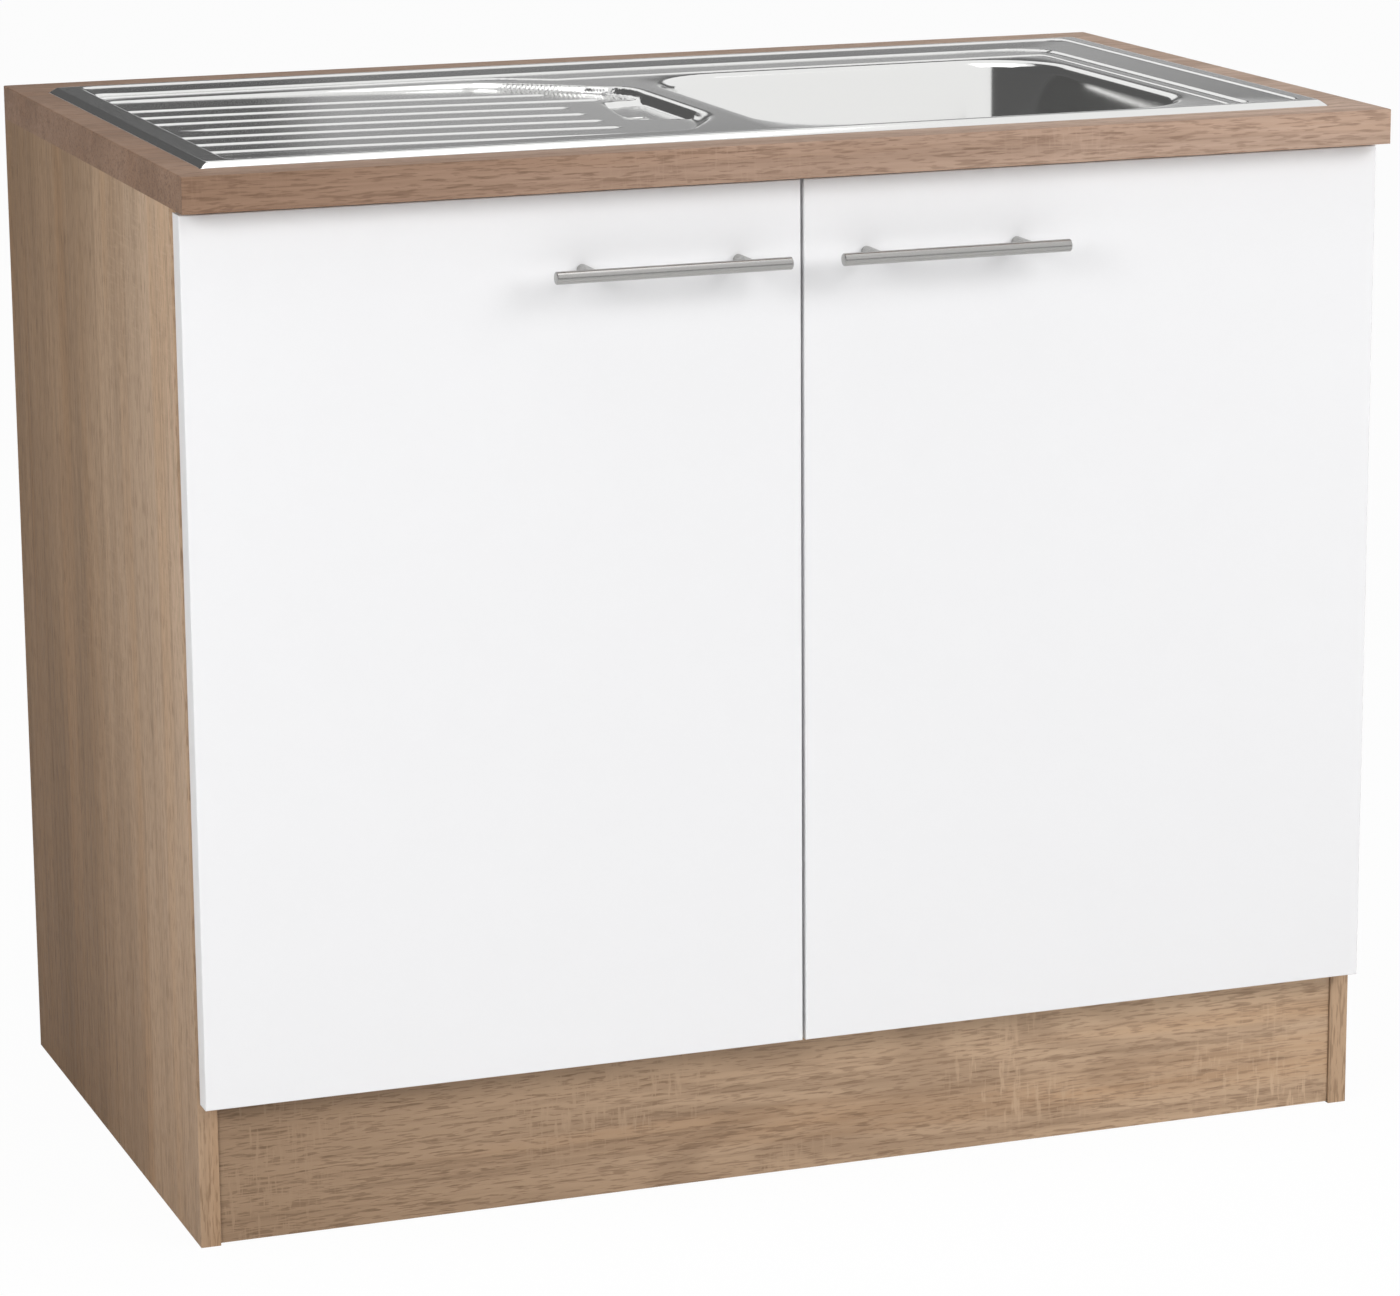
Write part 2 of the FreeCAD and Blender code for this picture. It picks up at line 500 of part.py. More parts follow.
def clips():
    """Lug, claw and screw of every sink clip."""
    lugs, claws, screws = [], [], []
    for x, y, turn, top, set_in in CLIPS:
        near, foot = set_in, set_in + LUG_FOOT
        half, foot_top = LUG_WIDE / 2, LUG_FOOT_Z + LUG_THICK
        axis = set_in + CLIP_SCREW_IN
        start, end = (0, axis, CLAW_Z), (0, axis, foot_top + CLIP_SCREW_PAST)
        bore = rod(CLIP_SCREW_RADIUS + FIT, start, end)
        lug = fused([
            box(-half, half, near, near + LUG_DEEP, top - LUG_THICK, top),
            box(-half, half, near, near + LUG_THICK, LUG_FOOT_Z, top),
            box(-half, half, near, foot, LUG_FOOT_Z, foot_top),
        ]).cut(bore)
        wide = CLAW_WIDE / 2
        claw = fused([
            box(-wide, wide, -CLAW_REACH, foot, CLAW_Z, CLAW_Z + CLAW_THICK),
            box(-wide, wide, -CLAW_REACH, CLAW_THICK - CLAW_REACH, CLAW_Z, CARCASS_TOP),
        ]).cut(bore)
        bolt = screw(start, (0, 0, 1), CLIP_SCREW_RADIUS, *CLIP_SCREW_HEAD, end[2] - start[2])
        for solid, pieces in ((lug, lugs), (claw, claws), (bolt, screws)):
            solid.rotate(Vector(), UP, turn)
            solid.translate(Vector(x, y, 0))
            pieces.append(solid)
    return lugs, claws, screws


# Doors and handles
def cup_bore(radius, deep):
    """Bore for a hinge cup about z = 0."""
    return rod(radius, (CUP_X, DOOR_BACK - deep, 0), (CUP_X, DOOR_BACK + 1, 0))


def cup_screws(spare=0.0):
    """Two screws through the cup's flange."""
    radius, head_radius, head, grip = CUP_SCREW
    y = DOOR_BACK + FLANGE_THICK
    return [screw((FLANGE_X, y, z), (0, -1, 0), radius + spare, head_radius, head, grip + spare)
            for z in (-CUP_SCREW_SPREAD, CUP_SCREW_SPREAD)]


def post_places():
    """x of each handle post."""
    middle = DOOR_INNER - BAR_FROM_EDGE - BAR_LONG / 2
    return (middle - POST_SPACING / 2, middle + POST_SPACING / 2)


def handle_screws(spare=0.0):
    """Screws through the door into the posts."""
    z = DOOR_Z[1] - BAR_FROM_TOP
    grip = DOOR_THICK + HANDLE_SCREW_GRIP + spare
    return [screw((x, DOOR_BACK, z), (0, -1, 0), HANDLE_SCREW_RADIUS + spare, *HANDLE_SCREW_HEAD, grip)
            for x in post_places()]


def door():
    """Door leaf with rounded front edges, cup bores and screw holes."""
    leaf = box(DOOR_OUTER, DOOR_INNER, DOOR_FRONT, DOOR_BACK, *DOOR_Z)
    front = [edge for edge in leaf.Edges if edge.BoundBox.YMax < DOOR_FRONT + FIT]
    leaf = leaf.makeFillet(DOOR_ROUND, front)
    leaf = leaf.cut(at_hinges(cup_bore(CUP_RADIUS + FIT, CUP_DEEP + FIT)))
    leaf = leaf.cut(at_hinges(group(cup_screws(FIT))))
    return leaf.cut(group(handle_screws(FIT)))


def bar_axis():
    """Ends of the handle bar's centre line."""
    y, z = DOOR_FRONT - BAR_STANDOFF, DOOR_Z[1] - BAR_FROM_TOP
    end = DOOR_INNER - BAR_FROM_EDGE
    return (end - BAR_LONG, y, z), (end, y, z)


def handle_bar():
    """Round bar with broken end edges."""
    bar = rod(BAR_RADIUS, *bar_axis())
    return bar.makeChamfer(BAR_CHAMFER, [edge for edge in bar.Edges if edge.Closed])


def handle_posts():
    """Round posts, coped to sit on the bar."""
    (_, y, z), _ = bar_axis()
    bar = rod(BAR_RADIUS, *bar_axis())
    holes = group(handle_screws(FIT))
    return group([rod(POST_RADIUS, (x, DOOR_FRONT, z), (x, y, z)).cut(bar).cut(holes) for x in post_places()])


def bumpers():
    """Soft dots where the door meets the carcass."""
    return group([rod(BUMPER_RADIUS, (x, DOOR_BACK, z), (x, DOOR_BACK + BUMPER_THICK, z)) for x, z in BUMPERS])


# Concealed hinge, modelled about z = 0
def hinge_cup():
    """Cup with its flange and the ears that carry the pins."""
    inside = cup_bore(CUP_RADIUS - CUP_WALL, CUP_DEEP - CUP_FLOOR)
    body = rod(CUP_RADIUS, (CUP_X, DOOR_BACK - CUP_DEEP, 0), (CUP_X, DOOR_BACK, 0))
    ends = [(FLANGE_X, DOOR_BACK, z) for z in (-CUP_SCREW_SPREAD, CUP_SCREW_SPREAD)]
    wing = [rod(FLANGE_ROUND, (x, y, z), (x, y + FLANGE_THICK, z)) for x, y, z in ends]
    wing.append(box(FLANGE_X - FLANGE_ROUND, FLANGE_X + FLANGE_ROUND, DOOR_BACK, DOOR_BACK + FLANGE_THICK,
                    -CUP_SCREW_SPREAD, CUP_SCREW_SPREAD))
    shell = fused([body] + wing).cut(inside)
    low, high = DOOR_BACK - EAR_DEEP, DOOR_BACK + EAR_PROUD
    ears = [box(0, EAR_END_X, low, high, *sorted((side * EAR_Z[0], side * EAR_Z[1]))) for side in (-1, 1)]
    ears = [ear.common(rod(CUP_RADIUS - CUP_WALL / 2, (CUP_X, 0, 0), (CUP_X, CARCASS_FRONT, 0))) for ear in ears]
    return fused([shell] + ears).cut(group(cup_axles())).cut(group(cup_screws(FIT)))


def pin(pivot, radius, z0, z1):
    """Upright pin through a pivot."""
    return rod(radius, (pivot.x, pivot.y, z0), (pivot.x, pivot.y, z1))


def cup_axles():
    """Through pin B and the two stub pins D."""
    out = EAR_Z[1]
    return [
        pin(PIVOT_B, PIN_RADIUS, -out, out),
        pin(PIVOT_D, PIN_RADIUS, -out, -STUB_START),
        pin(PIVOT_D, PIN_RADIUS, STUB_START, out),
    ]


def arm_axles():
    """Pins A and C across the arm."""
    out = CHEEK_Z[1]
    return [pin(PIVOT_A, PIN_RADIUS, -out, out), pin(PIVOT_C, PIN_RADIUS, -out, out)]


def outer_link():
    """Bent link round the side panel's edge, from arm pin A to cup pin B."""
    z = OUTER_LINK_Z
    body = [
        strap([PIVOT_A, LINK_KNEE, PIVOT_B], OUTER_LINK_HALF, -z, z),
        pin(PIVOT_A, OUTER_EYE_A, -z, z),
        pin(PIVOT_B, OUTER_EYE_B, -z, z),
    ]
    holes = [pin(pivot, PIN_RADIUS + PIN_FIT, -z - 1, z + 1) for pivot in (PIVOT_A, PIVOT_B)]
    return fused(body).cut(group(holes))


def inner_link():
    """Forked link from arm pin C, its hooks over the stub pins D."""
    along = (PIVOT_D - PIVOT_C).normalize()
    over = Vector(along.y, -along.x) * HOOK_RADIUS
    tip = along * HOOK_RADIUS
    path = [PIVOT_C, PIVOT_D + over, PIVOT_D + (over + tip) * math.sqrt(0.5), PIVOT_D + tip]
    low, high = INNER_LINK_Z
    body = [
        strap(path, INNER_LINK_HALF, -high, -low),
        strap(path, INNER_LINK_HALF, low, high),
        pin(PIVOT_C, INNER_BARREL, -high, high),
    ]
    return fused(body).cut(pin(PIVOT_C, PIN_RADIUS + PIN_FIT, -high - 1, high + 1))


def arm_profile():
    """Points along the arm's web, from its nose at pin C to its back end."""
    along = (PIVOT_C - PIVOT_A).normalize()
    out = Vector(-along.y, along.x) * WEB_OFFSET
    return [PIVOT_C + out, PIVOT_A + out, Vector(ARM_TOP_X, ARM_Y[0]), Vector(ARM_TOP_X, ARM_Y[2])], along


def hinge_arm():
    """Channel arm: two cheeks that carry pins A and C, joined by a web."""
    web, along = arm_profile()
    under = Vector(along.y, -along.x) * CHEEK_TIP
    side = web + [Vector(ARM_FOOT_X, ARM_Y[2]), Vector(ARM_FOOT_X, ARM_Y[1]), PIVOT_A + under, PIVOT_C + under]
    corners = [(p.x, p.y) for p in side]
    low, high = CHEEK_Z
    solids = [strap(web, WEB_HALF, -high, high)]
    for z0, z1 in ((-high, -low), (low, high)):
        solids += [prism(corners, z0, z1), pin(PIVOT_C, CHEEK_TIP, z0, z1), pin(PIVOT_A, CHEEK_TIP, z0, z1)]
    return fused(solids).cut(group(arm_axles())).cut(arm_screw(FIT))


def arm_screw(spare=0.0):
    """Screw through the arm's web into the mounting plate."""
    radius, head_radius, head, grip = ARM_SCREW
    x = ARM_TOP_X + WEB_HALF
    return screw((x, ARM_SCREW_Y, 0), (-1, 0, 0), radius + spare, head_radius, head, grip + spare)


def hinge_plate():
    """Cross-shaped mounting plate with the saddle that the arm sits on."""
    top = BOARD + PLATE_THICK
    half = PLATE_WIDE / 2
    low, step, high = SADDLE_Y
    plate = fused([
        box(BOARD, top, PLATE_Y - half, PLATE_Y + half, -PLATE_WING, PLATE_WING),
        box(BOARD, top, low, high, -SADDLE_HALF, SADDLE_HALF),
        box(BOARD, ARM_TOP_X - WEB_HALF, step, high, -SADDLE_HALF, SADDLE_HALF),
    ])
    ends = [edge for edge in plate.Edges if edge.BoundBox.ZMin > PLATE_WING - FIT or edge.BoundBox.ZMax < FIT - PLATE_WING]
    corners = [edge for edge in ends if edge.BoundBox.XLength > PLATE_THICK - FIT]
    return plate.makeFillet(half - FIT, corners).cut(arm_screw(FIT))


# Waste and overflow
def ring_of(count, radius, ring, z0, z1):
    """Upright rods spaced round the waste's centre."""
    rods = []
    for i in range(count):
        a = 2 * math.pi * i / count
        x, y = WASTE_X + ring * math.cos(a), WASTE_Y + ring * math.sin(a)
        rods.append(rod(radius, (x, y, z0), (x, y, z1)))
    return group(rods)


def waste_screw(spare=0.0):
    """Screw that clamps the housing to the flange."""
    radius, head_radius, head = WASTE_SCREW
    top = SEAT_Z - FLANGE_DEEP + HUB_HIGH
    grip = top - (SEAT_Z - BRIDGE_Z[1])
    return screw((WASTE_X, WASTE_Y, top), (0, 0, -1), radius + spare, head_radius, head, grip + spare)


def strainer_flange():
    """Steel flange in the bowl's seat, with the strainer cup below."""
    top, inner, bottom = SEAT_Z + FLANGE_WALL, FLANGE_CUP - FLANGE_WALL, SEAT_Z - FLANGE_DEEP
    body = turned((
        (FLANGE_CUP, SEAT_Z), (FLANGE_RIM, SEAT_Z), (FLANGE_RIM, top), (inner, top),
        (inner, bottom + FLANGE_WALL), (HUB_RADIUS, bottom + FLANGE_WALL), (HUB_RADIUS, bottom + HUB_HIGH),
        (0, bottom + HUB_HIGH), (0, bottom), (FLANGE_CUP, bottom),
    ), WASTE_X, WASTE_Y)
    holes = ring_of(DRAIN_HOLES, DRAIN_RADIUS, DRAIN_RING, bottom - 1, bottom + HUB_HIGH)
    return body.cut(holes).cut(waste_screw(FIT))


def strainer_basket():
    """Lift-out basket with a knob on a stem."""
    low = SEAT_Z + FLANGE_WALL + BASKET_GAP
    top, inner, bottom = low + BASKET_WALL, BASKET_CUP - BASKET_WALL, SEAT_Z - BASKET_DEEP
    knob_z = SEAT_Z + STEM_TOP
    body = turned((
        (BASKET_CUP, low), (BASKET_RIM, low), (BASKET_RIM, top), (inner, top), (inner, bottom + BASKET_WALL),
        (STEM_RADIUS, bottom + BASKET_WALL), (STEM_RADIUS, knob_z), *[(r, knob_z + z) for r, z in KNOB[1:]],
        (0, bottom), (BASKET_CUP, bottom),
    ), WASTE_X, WASTE_Y)
    for ring in BASKET_RINGS:
        body = body.cut(ring_of(BASKET_HOLES, BASKET_HOLE, ring, bottom - 1, bottom + 2))
    return body


def housing_gasket():
    """Flat washer under the bowl."""
    inner, outer = GASKET_RADII
    top = SEAT_Z - GAUGE
    low = top - GASKET_THICK
    return turned(((inner, low), (outer, low), (outer, top), (inner, top)), WASTE_X, WASTE_Y)


def pipe_direction():
    """Level direction from the overflow down-pipe to the waste."""
    return Vector(WASTE_X - PIPE_X, WASTE_Y - PIPE_Y).normalize()


def toward_pipe(distance):
    """Point on the overflow inlet's axis, that far from the waste's centre."""
    return Vector(WASTE_X, WASTE_Y, PIPE_Z) - pipe_direction() * distance


def strainer_housing():
    """Plastic housing under the bowl: drum, cone, outlet spigot, overflow inlet and screw bridge."""
    top = SEAT_Z - GAUGE - GASKET_THICK
    bottom = SEAT_Z - HOUSING_BOTTOM
    cone = bottom + HOUSING_CONE
    inner, outer = HOUSING_INNER, HOUSING_INNER + HOUSING_WALL
    spout = bottom - SPIGOT_LONG
    skin = turned((
        (0, spout), (SPIGOT_RADIUS, spout), (SPIGOT_RADIUS, bottom), (outer, cone),
        (outer, top - HOUSING_RIM_THICK), (HOUSING_RIM, top - HOUSING_RIM_THICK), (HOUSING_RIM, top), (0, top),
    ), WASTE_X, WASTE_Y)
    hollow = turned((
        (0, spout - 1), (SPIGOT_BORE, spout - 1), (SPIGOT_BORE, bottom + HOUSING_WALL / 2),
        (inner, cone + HOUSING_WALL), (inner, top + 1), (0, top + 1),
    ), WASTE_X, WASTE_Y)
    inlet = rod(SOCKET_RADIUS, toward_pipe(INLET_END), toward_pipe(inner + 1))
    bore = rod(PIPE_RADIUS + PIPE_FIT, toward_pipe(INLET_END + 1), toward_pipe(inner - SOCKET_LONG))
    shell = fused([skin, inlet]).cut(hollow).cut(bore)
    z0, z1 = SEAT_Z - BRIDGE_Z[1], SEAT_Z - BRIDGE_Z[0]
    half, reach = BRIDGE_WIDE / 2, inner + HOUSING_WALL / 2
    bridge = [
        box(WASTE_X - half, WASTE_X + half, WASTE_Y - reach, WASTE_Y + reach, z0, z1),
        rod(BRIDGE_BOSS, (WASTE_X, WASTE_Y, z0), (WASTE_X, WASTE_Y, z1)),
    ]
    drum = rod(reach, (WASTE_X, WASTE_Y, z0), (WASTE_X, WASTE_Y, z1))
    bridge = fused(bridge).common(drum)
    return fused([shell, bridge]).cut(waste_screw(FIT))


def overflow_elbow():
    """Open box under the overflow slots with a socket for the pipe."""
    top = PIT_FLOOR - GAUGE - OVERFLOW_GASKET
    low, wall = top - ELBOW_HIGH, ELBOW_WALL
    body = fused([
        box(*ELBOW_X, *ELBOW_Y, low, top),
        rod(SOCKET_RADIUS, (PIPE_X, PIPE_Y, low - SOCKET_LONG), (PIPE_X, PIPE_Y, low + wall)),
    ])
    inside = box(ELBOW_X[0] + wall, ELBOW_X[1] - wall, ELBOW_Y[0] + wall, ELBOW_Y[1] - wall, low + wall, top + 1)
    socket = rod(PIPE_RADIUS + PIPE_FIT, (PIPE_X, PIPE_Y, low - SOCKET_LONG - 1), (PIPE_X, PIPE_Y, low + 2 * wall))
    return body.cut(inside).cut(socket)


def overflow_gasket():
    """Flat frame between the elbow and the drainer's pit."""
    top = PIT_FLOOR - GAUGE
    rim = OVERFLOW_GASKET_WIDE
    outer = box(*ELBOW_X, *ELBOW_Y, top - OVERFLOW_GASKET, top)
    return outer.cut(box(ELBOW_X[0] + rim, ELBOW_X[1] - rim, ELBOW_Y[0] + rim, ELBOW_Y[1] - rim,
                         top - OVERFLOW_GASKET - 1, top + 1))


def overflow_top():
    """Height of the elbow's socket mouth."""
    return PIT_FLOOR - GAUGE - OVERFLOW_GASKET - ELBOW_HIGH - SOCKET_LONG


def overflow_pipe():
    """Pipe from the elbow down and across to the housing, in one bend."""
    start = Vector(PIPE_X, PIPE_Y, overflow_top() + SOCKET_IN)
    turn_in = Vector(PIPE_X, PIPE_Y, PIPE_Z + PIPE_BEND)
    centre = turn_in + pipe_direction() * PIPE_BEND
    middle = centre + (pipe_direction() + UP) * (-PIPE_BEND * math.sqrt(0.5))
    turn_out = centre - UP * PIPE_BEND
    end = toward_pipe(INLET_END - SOCKET_IN)
    path = Part.Wire([
        Part.makeLine(start, turn_in),
        Part.Arc(turn_in, middle, turn_out).toShape(),
        Part.makeLine(turn_out, end),
    ])
    skins = []
    for radius in (PIPE_RADIUS, PIPE_BORE):
        ring = Part.Wire([Part.makeCircle(radius, start, UP * -1)])
        skins.append(path.makePipeShell([ring], True, True))
    return skins[0].cut(skins[1])


def overflow_nut(mouth, along):
    """Ribbed union nut: mouth is the socket's end and along points out of it."""
    start = mouth - along * NUT_OVER
    nut = Part.makeCylinder(NUT_RADIUS, NUT_OVER + NUT_PAST, start, along)
    nut = nut.cut(Part.makeCylinder(SOCKET_RADIUS + PIPE_FIT, NUT_OVER, start, along))
    nut = nut.cut(Part.makeCylinder(PIPE_RADIUS + PIPE_FIT, NUT_OVER + NUT_PAST, start, along))
    across = UP if abs(along.z) < 0.5 else Vector(1, 0, 0)
    for i in range(NUT_FLATS):
        groove = Part.makeCylinder(1.0, NUT_OVER + NUT_PAST, start + across * (NUT_RADIUS + 0.3), along)
        groove.rotate(mouth, along, 360 * i / NUT_FLATS)
        nut = nut.cut(groove)
    return nut


def main():
    os.makedirs("parts", exist_ok=True)
    cam_bores, bolt_bores, dowel_bores = joints(FIT)
    bores = both_sides(group(cam_bores + bolt_bores + dowel_bores))
    holes = group(carcass_screws(FIT))

    side = box(0, BOARD, CARCASS_FRONT, WORKTOP_DEPTH, 0, CARCASS_TOP).cut(bores).cut(holes)
    save("side_panel_left", side)
    save("side_panel_right", mirrored(side))
    span = (BOARD, WIDTH - BOARD)
    boards = {
        "bottom_panel": box(*span, CARCASS_FRONT, WORKTOP_DEPTH, BOTTOM_PANEL_Z, BOTTOM_PANEL_Z + BOARD),
        "front_rail": box(*span, CARCASS_FRONT, CARCASS_FRONT + BOARD, *FRONT_RAIL_Z),
        "plinth_board": box(BOARD + PLINTH_GAP, WIDTH - BOARD - PLINTH_GAP, PLINTH_FRONT,
                            PLINTH_FRONT + BOARD, PLINTH_FEET, BOTTOM_PANEL_Z - PLINTH_GAP),
    }
    for name, (low, high) in REAR_RAILS_Z.items():
        boards[name] = box(*span, WORKTOP_DEPTH - BOARD, WORKTOP_DEPTH, low, high)
    for name, board in boards.items():
        save(name, board.cut(bores).cut(holes))
    worktop = box(0, WIDTH, 0, WORKTOP_DEPTH, CARCASS_TOP, HEIGHT)
    worktop = worktop.makeChamfer(EDGE_BREAK, [e for e in worktop.Edges if e.BoundBox.ZMin > HEIGHT - FIT])
    cutout = pan(rectangle(CUTOUT_X, CUTOUT_Y), CUTOUT_CORNER, ((0, CARCASS_TOP - 1), (0, HEIGHT + 1)))
    save("worktop", worktop.cut(cutout).cut(holes))

    save("cam_discs", cam_discs())
    _, bolts, dowels = joints()
    save("cam_bolts", both_sides(group(bolts)))
    save("dowels", both_sides(group(dowels)))
    save("corner_blocks", group([block.cut(holes) for block in blocks()]))
    save("worktop_brackets", both_sides(group(brackets()).cut(holes)))
    save("carcass_screws", group(carcass_screws()))

    save("sink_pressing", sink_pressing())
    save("sink_seal", sink_seal())
    for name, solids in zip(("clip_lugs", "clip_claws", "clip_screws"), clips()):
        save(name, group(solids))
    save("strainer_flange", strainer_flange())
    save("strainer_basket", strainer_basket())
    save("housing_gasket", housing_gasket())
    save("strainer_housing", strainer_housing())
    save("strainer_screw", waste_screw())
    save("overflow_gasket", overflow_gasket())
    save("overflow_elbow", overflow_elbow())
    save("overflow_pipe", overflow_pipe())
    mouth = Vector(PIPE_X, PIPE_Y, overflow_top())
    nuts = [overflow_nut(mouth, UP * -1), overflow_nut(toward_pipe(INLET_END), pipe_direction() * -1)]
    save("overflow_nuts", group(nuts))

    left = {
        "door": door(),
        "handle_bar": handle_bar(),
        "handle_posts": handle_posts(),
        "handle_screws": group(handle_screws()),
        "door_bumpers": bumpers(),
        "hinge_cups": at_hinges(hinge_cup()),
        "hinge_cup_axles": at_hinges(group(cup_axles())),
        "hinge_cup_screws": at_hinges(group(cup_screws())),
        "hinge_outer_links": at_hinges(outer_link()),
        "hinge_inner_links": at_hinges(inner_link()),
        "hinge_arms": at_hinges(hinge_arm()),
        "hinge_arm_axles": at_hinges(group(arm_axles())),
        "hinge_plates": at_hinges(hinge_plate().cut(plate_holes())),
        "hinge_arm_screws": at_hinges(arm_screw()),
    }
    for name, shape in left.items():
        save(name + "_left", shape)
        save(name + "_right", mirrored(shape))


def plate_holes():
    """Screw holes of a mounting plate."""
    return group([rod(SCREW_RADIUS + FIT, (BOARD - 1, PLATE_Y, z), (BOARD + PLATE_THICK + 1, PLATE_Y, z))
                  for z in (-PLATE_SCREW_Z, PLATE_SCREW_Z)])


main()
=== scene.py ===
import math

import bmesh
import bpy
from mathutils import Matrix, Vector


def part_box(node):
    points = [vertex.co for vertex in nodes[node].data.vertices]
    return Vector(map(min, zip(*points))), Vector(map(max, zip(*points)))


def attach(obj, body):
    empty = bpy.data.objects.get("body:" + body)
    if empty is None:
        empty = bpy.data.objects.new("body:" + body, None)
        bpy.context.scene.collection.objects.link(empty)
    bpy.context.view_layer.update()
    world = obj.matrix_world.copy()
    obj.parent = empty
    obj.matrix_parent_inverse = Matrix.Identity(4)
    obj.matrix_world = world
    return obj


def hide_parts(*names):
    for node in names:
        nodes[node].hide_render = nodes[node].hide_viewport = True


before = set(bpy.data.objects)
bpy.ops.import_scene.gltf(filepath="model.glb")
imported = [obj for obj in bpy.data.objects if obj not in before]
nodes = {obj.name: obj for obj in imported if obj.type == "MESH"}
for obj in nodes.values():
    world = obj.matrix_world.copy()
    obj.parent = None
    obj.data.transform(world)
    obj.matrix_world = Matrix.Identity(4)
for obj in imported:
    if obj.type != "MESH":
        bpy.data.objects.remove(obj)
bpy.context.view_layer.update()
MM = 0.001

# ---------------------------------------------------------------- view
# The unit seen from its front left and a little above, through a long lens from about four
# metres away, so that the drainer, the bowl's back wall and the left side all show.
EYE = (-1.420, -3.9315, 1.375)
TURN, TILT, ROLL = math.radians(-20.005), math.radians(90 - 13.333), math.radians(-0.420)
FOCAL_PIXELS, PICTURE_WIDE = 5084.0, 1400
SENSOR_WIDE, SEEN_FAR = 36.0, 100.0

camera_data = bpy.data.cameras.new("camera")
camera_data.sensor_width = SENSOR_WIDE
camera_data.lens = FOCAL_PIXELS / PICTURE_WIDE * SENSOR_WIDE
camera_data.clip_end = SEEN_FAR
camera = bpy.data.objects.new("camera", camera_data)
camera.matrix_world = (
    Matrix.Translation(EYE)
    @ Matrix.Rotation(TURN, 4, "Z")
    @ Matrix.Rotation(TILT, 4, "X")
    @ Matrix.Rotation(ROLL, 4, "Z")
)
bpy.context.scene.collection.objects.link(camera)
bpy.context.scene.camera = camera
bpy.context.scene.view_settings.view_transform = "Standard"

# ---------------------------------------------------------------- studio
# A white floor in a white room, with soft boxes at the right, above and at the left. Dark cards
# stand round the unit where only polished steel sees them, and part of them is mid grey.
FLOOR_HALF, FLOOR_WHITE, FLOOR_GLOW = 40.0, 0.9, 0.96
ROOM_DIFFUSE = 0.32
CARD_RADIUS, CARD_STEP, CARD_SMOOTH = 4.0, 4, 80
CARD_DARK, CARD_GREY = 0.11, 0.42
GREY_FROM_X, GREY_TO_Z = (0.69, 0.85), (1.42, 1.47)
CARDS = (
    # name, first angle, last angle, bottom, top
    ("card_back", 20, 88, 1.06, 1.95),
    ("card_left", 88, 252, 0.95, 7.5),
    ("card_front", 252, 380, 0.2, 1.1),
)
LAMPS = (
    # name, place, aim, size, watts
    ("soft_box_right", (2.2, -2.6, 2.2), (0.1, 0.0, 0.4), 1.8, 60.0),
    ("soft_box_top", (-0.2, -0.4, 3.6), (0.0, 0.1, 0.8), 2.2, 24.0),
    ("soft_box_left", (-2.4, -1.9, 1.7), (-0.3, 0.0, 0.4), 1.2, 38.0),
)


def new_material(name):
    """A node material with its Principled shader."""
    material = bpy.data.materials.new(name)
    material.use_nodes = True
    return material, material.node_tree, material.node_tree.nodes["Principled BSDF"]


def add(tree, kind, **settings):
    """A node with its settings and the values of its named inputs."""
    node = tree.nodes.new(kind)
    for key, value in settings.items():
        if key.startswith("in_"):
            node.inputs[key[3:].replace("_", " ")].default_value = value
        else:
            setattr(node, key, value)
    return node


def ranged(tree, value, low, high, to_low=0.0, to_high=1.0, interpolation="LINEAR"):
    """A value mapped from one range to another."""
    node = add(tree, "ShaderNodeMapRange", interpolation_type=interpolation, in_From_Min=low,
               in_From_Max=high, in_To_Min=to_low, in_To_Max=to_high)
    tree.links.new(value, node.inputs["Value"])
    return node.outputs[0]


def calculated(tree, operation, *values):
    """A sum, product or other result of sockets and plain numbers."""
    node = add(tree, "ShaderNodeMath", operation=operation)
    for socket, value in zip(node.inputs, values):
        if isinstance(value, (int, float)):
            socket.default_value = value
        else:
            tree.links.new(value, socket)
    return node.outputs[0]


def link_mesh(name, bm, smooth_angle=None):
    """A finished bmesh as an object of the scene."""
    mesh = bpy.data.meshes.new(name)
    bm.to_mesh(mesh)
    bm.free()
    if smooth_angle is not None:
        mesh.polygons.foreach_set("use_smooth", [True] * len(mesh.polygons))
        mesh.set_sharp_from_angle(angle=math.radians(smooth_angle))
    obj = bpy.data.objects.new(name, mesh)
    bpy.context.scene.collection.objects.link(obj)
    return obj


world = bpy.data.worlds.new("room")
bpy.context.scene.world = world
world.use_nodes = True
room = world.node_tree
background = room.nodes["Background"]
background.inputs["Color"].default_value = (1.0, 1.0, 1.0, 1.0)
rays = add(room, "ShaderNodeLightPath").outputs
mirrored = calculated(room, "MAXIMUM", rays["Is Glossy Ray"], rays["Is Transmission Ray"])
seen = calculated(room, "MAXIMUM", rays["Is Camera Ray"], mirrored)
strength = ranged(room, seen, 0.0, 1.0, ROOM_DIFFUSE, 1.0)
room.links.new(strength, background.inputs["Strength"])

floor_bm = bmesh.new()
bmesh.ops.create_grid(floor_bm, x_segments=1, y_segments=1, size=FLOOR_HALF)
floor = link_mesh("floor", floor_bm)
floor_material, tree, shader = new_material("floor_white")
shader.inputs["Base Color"].default_value = (FLOOR_WHITE, FLOOR_WHITE, FLOOR_WHITE, 1.0)
shader.inputs["Roughness"].default_value = 0.9
shader.inputs["Specular IOR Level"].default_value = 0.0
glow = add(tree, "ShaderNodeEmission", in_Strength=1.0)
rays = add(tree, "ShaderNodeLightPath").outputs
blend = add(tree, "ShaderNodeMixShader")
share = calculated(tree, "MULTIPLY", rays["Is Camera Ray"], FLOOR_GLOW)
for source, socket in zip((share, shader.outputs[0], glow.outputs[0]), blend.inputs):
    tree.links.new(source, socket)
tree.links.new(blend.outputs[0], tree.nodes["Material Output"].inputs["Surface"])
